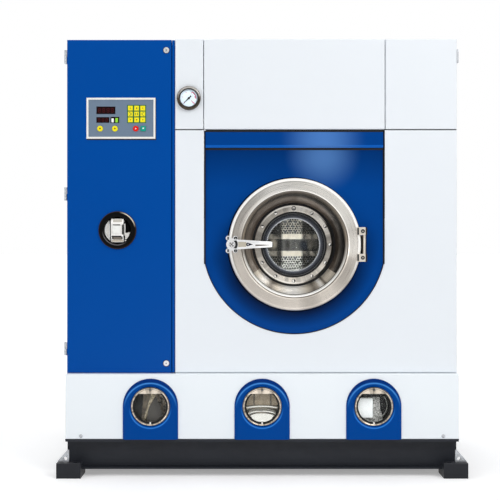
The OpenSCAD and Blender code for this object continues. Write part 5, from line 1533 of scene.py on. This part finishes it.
# %% Window screws
flange_face = front_of("window_flange")
screw_face = front_of("window_screws")
screw_circle = radius_of("window_flange") - 13.5 * mm
collars, head_shades = bmesh.new(), bmesh.new()
for k in range(12):
    angle = math.radians(30 * k)
    spot = Vector((door.x + screw_circle * math.sin(angle), 0, door.z + screw_circle * math.cos(angle)))
    size = 1.25 if k == 0 else 1.0
    turn(collars, spot, [(6.3 * mm, flange_face - 0.35 * mm), (7.6 * size * mm, flange_face - 0.12 * mm),
                         (7.6 * size * mm, flange_face + 0.2 * mm), (6.3 * mm, flange_face + 0.2 * mm)], 24)
    # painted shade on each screw's head
    shade = [(spot.x + 6.0 * mm * math.cos(a), spot.z + 6.0 * mm * math.sin(a))
             for a in (math.radians(17 * k + 190 + 160 * j / 10) for j in range(11))]
    thicken(head_shades, shade, screw_face - 0.2 * mm, screw_face + 0.3 * mm)
finish_piece("window_screw_seats", collars, "loading_door", ink_and_shade_black)
finish_piece("window_screw_head_shades", head_shades, "loading_door", ink_and_shade_black)
print("screw circle", round(screw_circle, 4))

# %% [markdown]
# The control door's latch has pieces in its dish that stand for the highlights on its chrome: a
# crescent plate in the left of the dish, with a white rib and edge as painted highlights, and a bright
# wedge. Beside them stand a side plate to the right of the lever and a small ball below the wedge. The
# plates stand in the dish and stay on the door. The facets of the lever are dressed with thin inlays,
# which ride on the lever; the brown slope and the dark joint, side and groove among them are painted
# shade.

# %% Latch
def latch_plate(name, outline, y_front, y_back, material, bevel=0.6):
    return plate(name, [(latch.x + x * mm, latch.z + z * mm) for x, z in outline],
                 sheet_front + y_front * mm, sheet_front + y_back * mm, "control_door", material,
                 bevel=bevel * mm)


# pieces that stand for highlights in the chrome dish, two of them painted white
crescent = arc_points(0, 0, 54.5, 126, 234)
latch_plate("latch_left_highlight_plate", crescent, 6, 9, lever_chrome)
latch_plate("latch_left_highlight_rib", oblong(-36.5, -31.6, -39, 42), 4.6, 7, glint_white)
latch_plate("latch_left_highlight_edge", arc_points(0, 0, 54.3, 150, 234) + arc_points(0, 0, 49.5, 232, 150), 5.6, 7,
            glint_white, bevel=0.2)
latch_plate("latch_side_plate", [(28.2, -22), (33, -22), (33, 44), (28.2, 44)], -1, 9, lever_chrome)
latch_plate("latch_highlight_wedge", [(31.5, -12), (53.5, -8), (46, -27), (37, -38), (31.5, -38)], 3, 9,
            lever_chrome)
latch_plate("latch_ball", arc_points(34, -44.5, 3.6, 0, 345, 14), -1, 8, lever_chrome, bevel=1.2)

# the joint, side and groove inlays and the brown slope are painted shade
inlays = {"latch_inlay_upper": ((-17.5, 20), (33.5, -11.03), (45, -4.56), plate_grey),
          "latch_inlay_joint": ((-17.7, 13.8), (20, -15), (24.3, -14.9), void_black),
          "latch_inlay_flat": ((-17.7, 12.5), (-13.4, -15), (18.8, -15), frame_plastic),
          "latch_inlay_side": ((20.5, 25.9), (-18, -15), (24, -15), void_black),
          "latch_inlay_groove": ((-24, 18), (-28, -9.47), (-23.1, -12.93), void_black),
          "latch_inlay_slope": ((-17, 18), (-39.6, -1.28), (-29, -8.76), slope_brown),
          "latch_inlay_lip": ((-23.7, 24.5), (-47.6, 1.28), (-41, -0.7), lip_beige)}
for name, (sides, lower, upper, material) in inlays.items():
    parts = bmesh.new()
    sloped(parts, latch.x + sides[0] * mm, latch.x + sides[1] * mm,
           (latch.z + lower[0] * mm, sheet_front + lower[1] * mm),
           (latch.z + upper[0] * mm, sheet_front + upper[1] * mm), 0.25 * mm, 0.4 * mm)
    finish_piece(name, parts, "latch", material)
print("latch centre", [round(v, 3) for v in latch], "inlays:", len(inlays))

# %% [markdown]
# ## Light
# The studio is a pale floor, a white surrounding and a few soft lamps. Metal shows what is round
# it, so the surrounding differs by the kind of ray: the camera and glass see plain white, polished
# pieces see a room with bright panels above and to the right and a dark wall behind the camera, and
# matt pieces get an even level, at which a colour comes out about as it is written.

# %% The room
even_level = 0.54
world = bpy.data.worlds.new("studio")
bpy.context.scene.world = world
world.use_nodes = True
sky = world.node_tree
background = sky.nodes["Background"]
background.inputs["Color"].default_value = (1.0, 1.0, 1.0, 1.0)
x, y, z = coordinates(sky, Wire(node(sky, "TexCoord").outputs["Generated"]))

above = between(z, 0.0, 0.95, 0.30, 0.62, "SMOOTHSTEP")
on_the_right = between(x, 0.0, 0.75, 0.30, 0.75, "SMOOTHSTEP")
on_the_left = between(x * -1.0, 0.0, 0.35, 0.45, 0.85, "SMOOTHSTEP")
behind = between(y, 0.0, 0.8, -0.1, 0.25, "SMOOTHSTEP")
room = maths("MINIMUM", above + 0.2 + on_the_right + on_the_left + behind, 1.1)
level = rays_of(sky, "Glossy") * (room - even_level) + even_level
plain_white = rays_of(sky, "Camera", "Transmission")
give(level + plain_white * (1.0 - level), background.inputs["Strength"])
print("even level", even_level)

# %% [markdown]
# Five soft lamps: a key from the upper right, a fill from the left, one from above, one for the back
# and a low one for the casing. A sixth is a narrow spot that shines through the door's glass onto the
# back of the drum, which is too deep inside for the others to reach.

# %% Lamps
def lamp(name, kind, place, target, power, **settings):
    """A lamp that points at a target. The settings are those of its kind."""
    data = bpy.data.lights.new(name, kind)
    data.energy = power
    for setting, value in settings.items():
        setattr(data, setting, value)
    made = bpy.data.objects.new(name, data)
    made.location = place
    made.rotation_euler = (Vector(target) - Vector(place)).to_track_quat("-Z", "Y").to_euler()
    bpy.context.scene.collection.objects.link(made)
    return made


for name, place, target, size, power in (
        ("key_lamp", (2.6, -4.2, 3.6), (0.2, -0.5, 0.9), 2.4, 81),
        ("fill_lamp", (-3.4, -3.6, 2.2), (-0.2, -0.5, 0.9), 2.6, 33),
        ("low_lamp", (0.0, -2.2, 0.1), (0.0, -0.56, 0.3), 1.4, 2.5),
        ("top_lamp", (0.0, -0.6, 4.4), (0.0, -0.3, 1.0), 3.0, 26),
        ("rear_lamp", (-1.2, 4.6, 3.2), (0.0, 0.4, 0.9), 2.6, 60)):
    lamp(name, "AREA", place, target, power, shape="DISK", size=size)
window_spot = lamp("window_spot", "SPOT", (door.x + 0.06, -5.0, door.z + 0.1), (door.x, -0.46, door.z), 720,
                   spot_size=math.radians(3.9), spot_blend=0.3, shadow_soft_size=0.03)
window_spot.visible_glossy = False

# %% [markdown]
# The floor is matt and nearly white. A little light of its own, only for camera, glossy and glass
# rays, lifts it to the white of the surrounding, and the shadow under the machine stays, because it
# dims the rest. Far away the lamps no longer reach the floor, so its own light rises with distance:
# that way no horizon shows.

# %% Floor
floor_mesh = bmesh.new()
bmesh.ops.create_grid(floor_mesh, x_segments=24, y_segments=24, size=200.0)
floor_data = bpy.data.meshes.new("studio_floor")
floor_mesh.to_mesh(floor_data)
floor_mesh.free()
floor = bpy.data.objects.new("studio_floor", floor_data)
bpy.context.scene.collection.objects.link(floor)
material, tree, shader = new_finish("pale_floor", (0.86, 0.86, 0.87, 1.0), 0.8, gloss=0.1)
surface(shader, mixed(cloud(tree, 3.0), (0.85, 0.85, 0.86, 1.0), (0.88, 0.88, 0.885, 1.0)))
shader.inputs["Emission Color"].default_value = (1.0, 1.0, 1.0, 1.0)
distance = node(tree, "VectorMath", operation="LENGTH")
give(here(tree), distance.inputs[0])
far_light = rays_of(tree, "Camera") * between(Wire(distance.outputs["Value"]), 0.0, 0.4, 2.0, 9.0)
bright = rays_of(tree, "Camera", "Glossy", "Transmission")
give(bright * 0.32 + far_light, shader.inputs["Emission Strength"])
floor_data.materials.append(material)
floor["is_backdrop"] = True
print("floor", [round(v) for v in floor.dimensions[:2]], "m")

# %% [markdown]
# Last come the two boxes, the imported model's and the dressed one's. They should agree, because
# nothing that was added is meant to make the machine bigger.

# %% Sizes
dressed_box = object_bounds()
grown = (dressed_box[1] - dressed_box[0]) - (cad_box[1] - cad_box[0])
print("grown by", [round(v * 1000, 2) for v in grown], "mm")
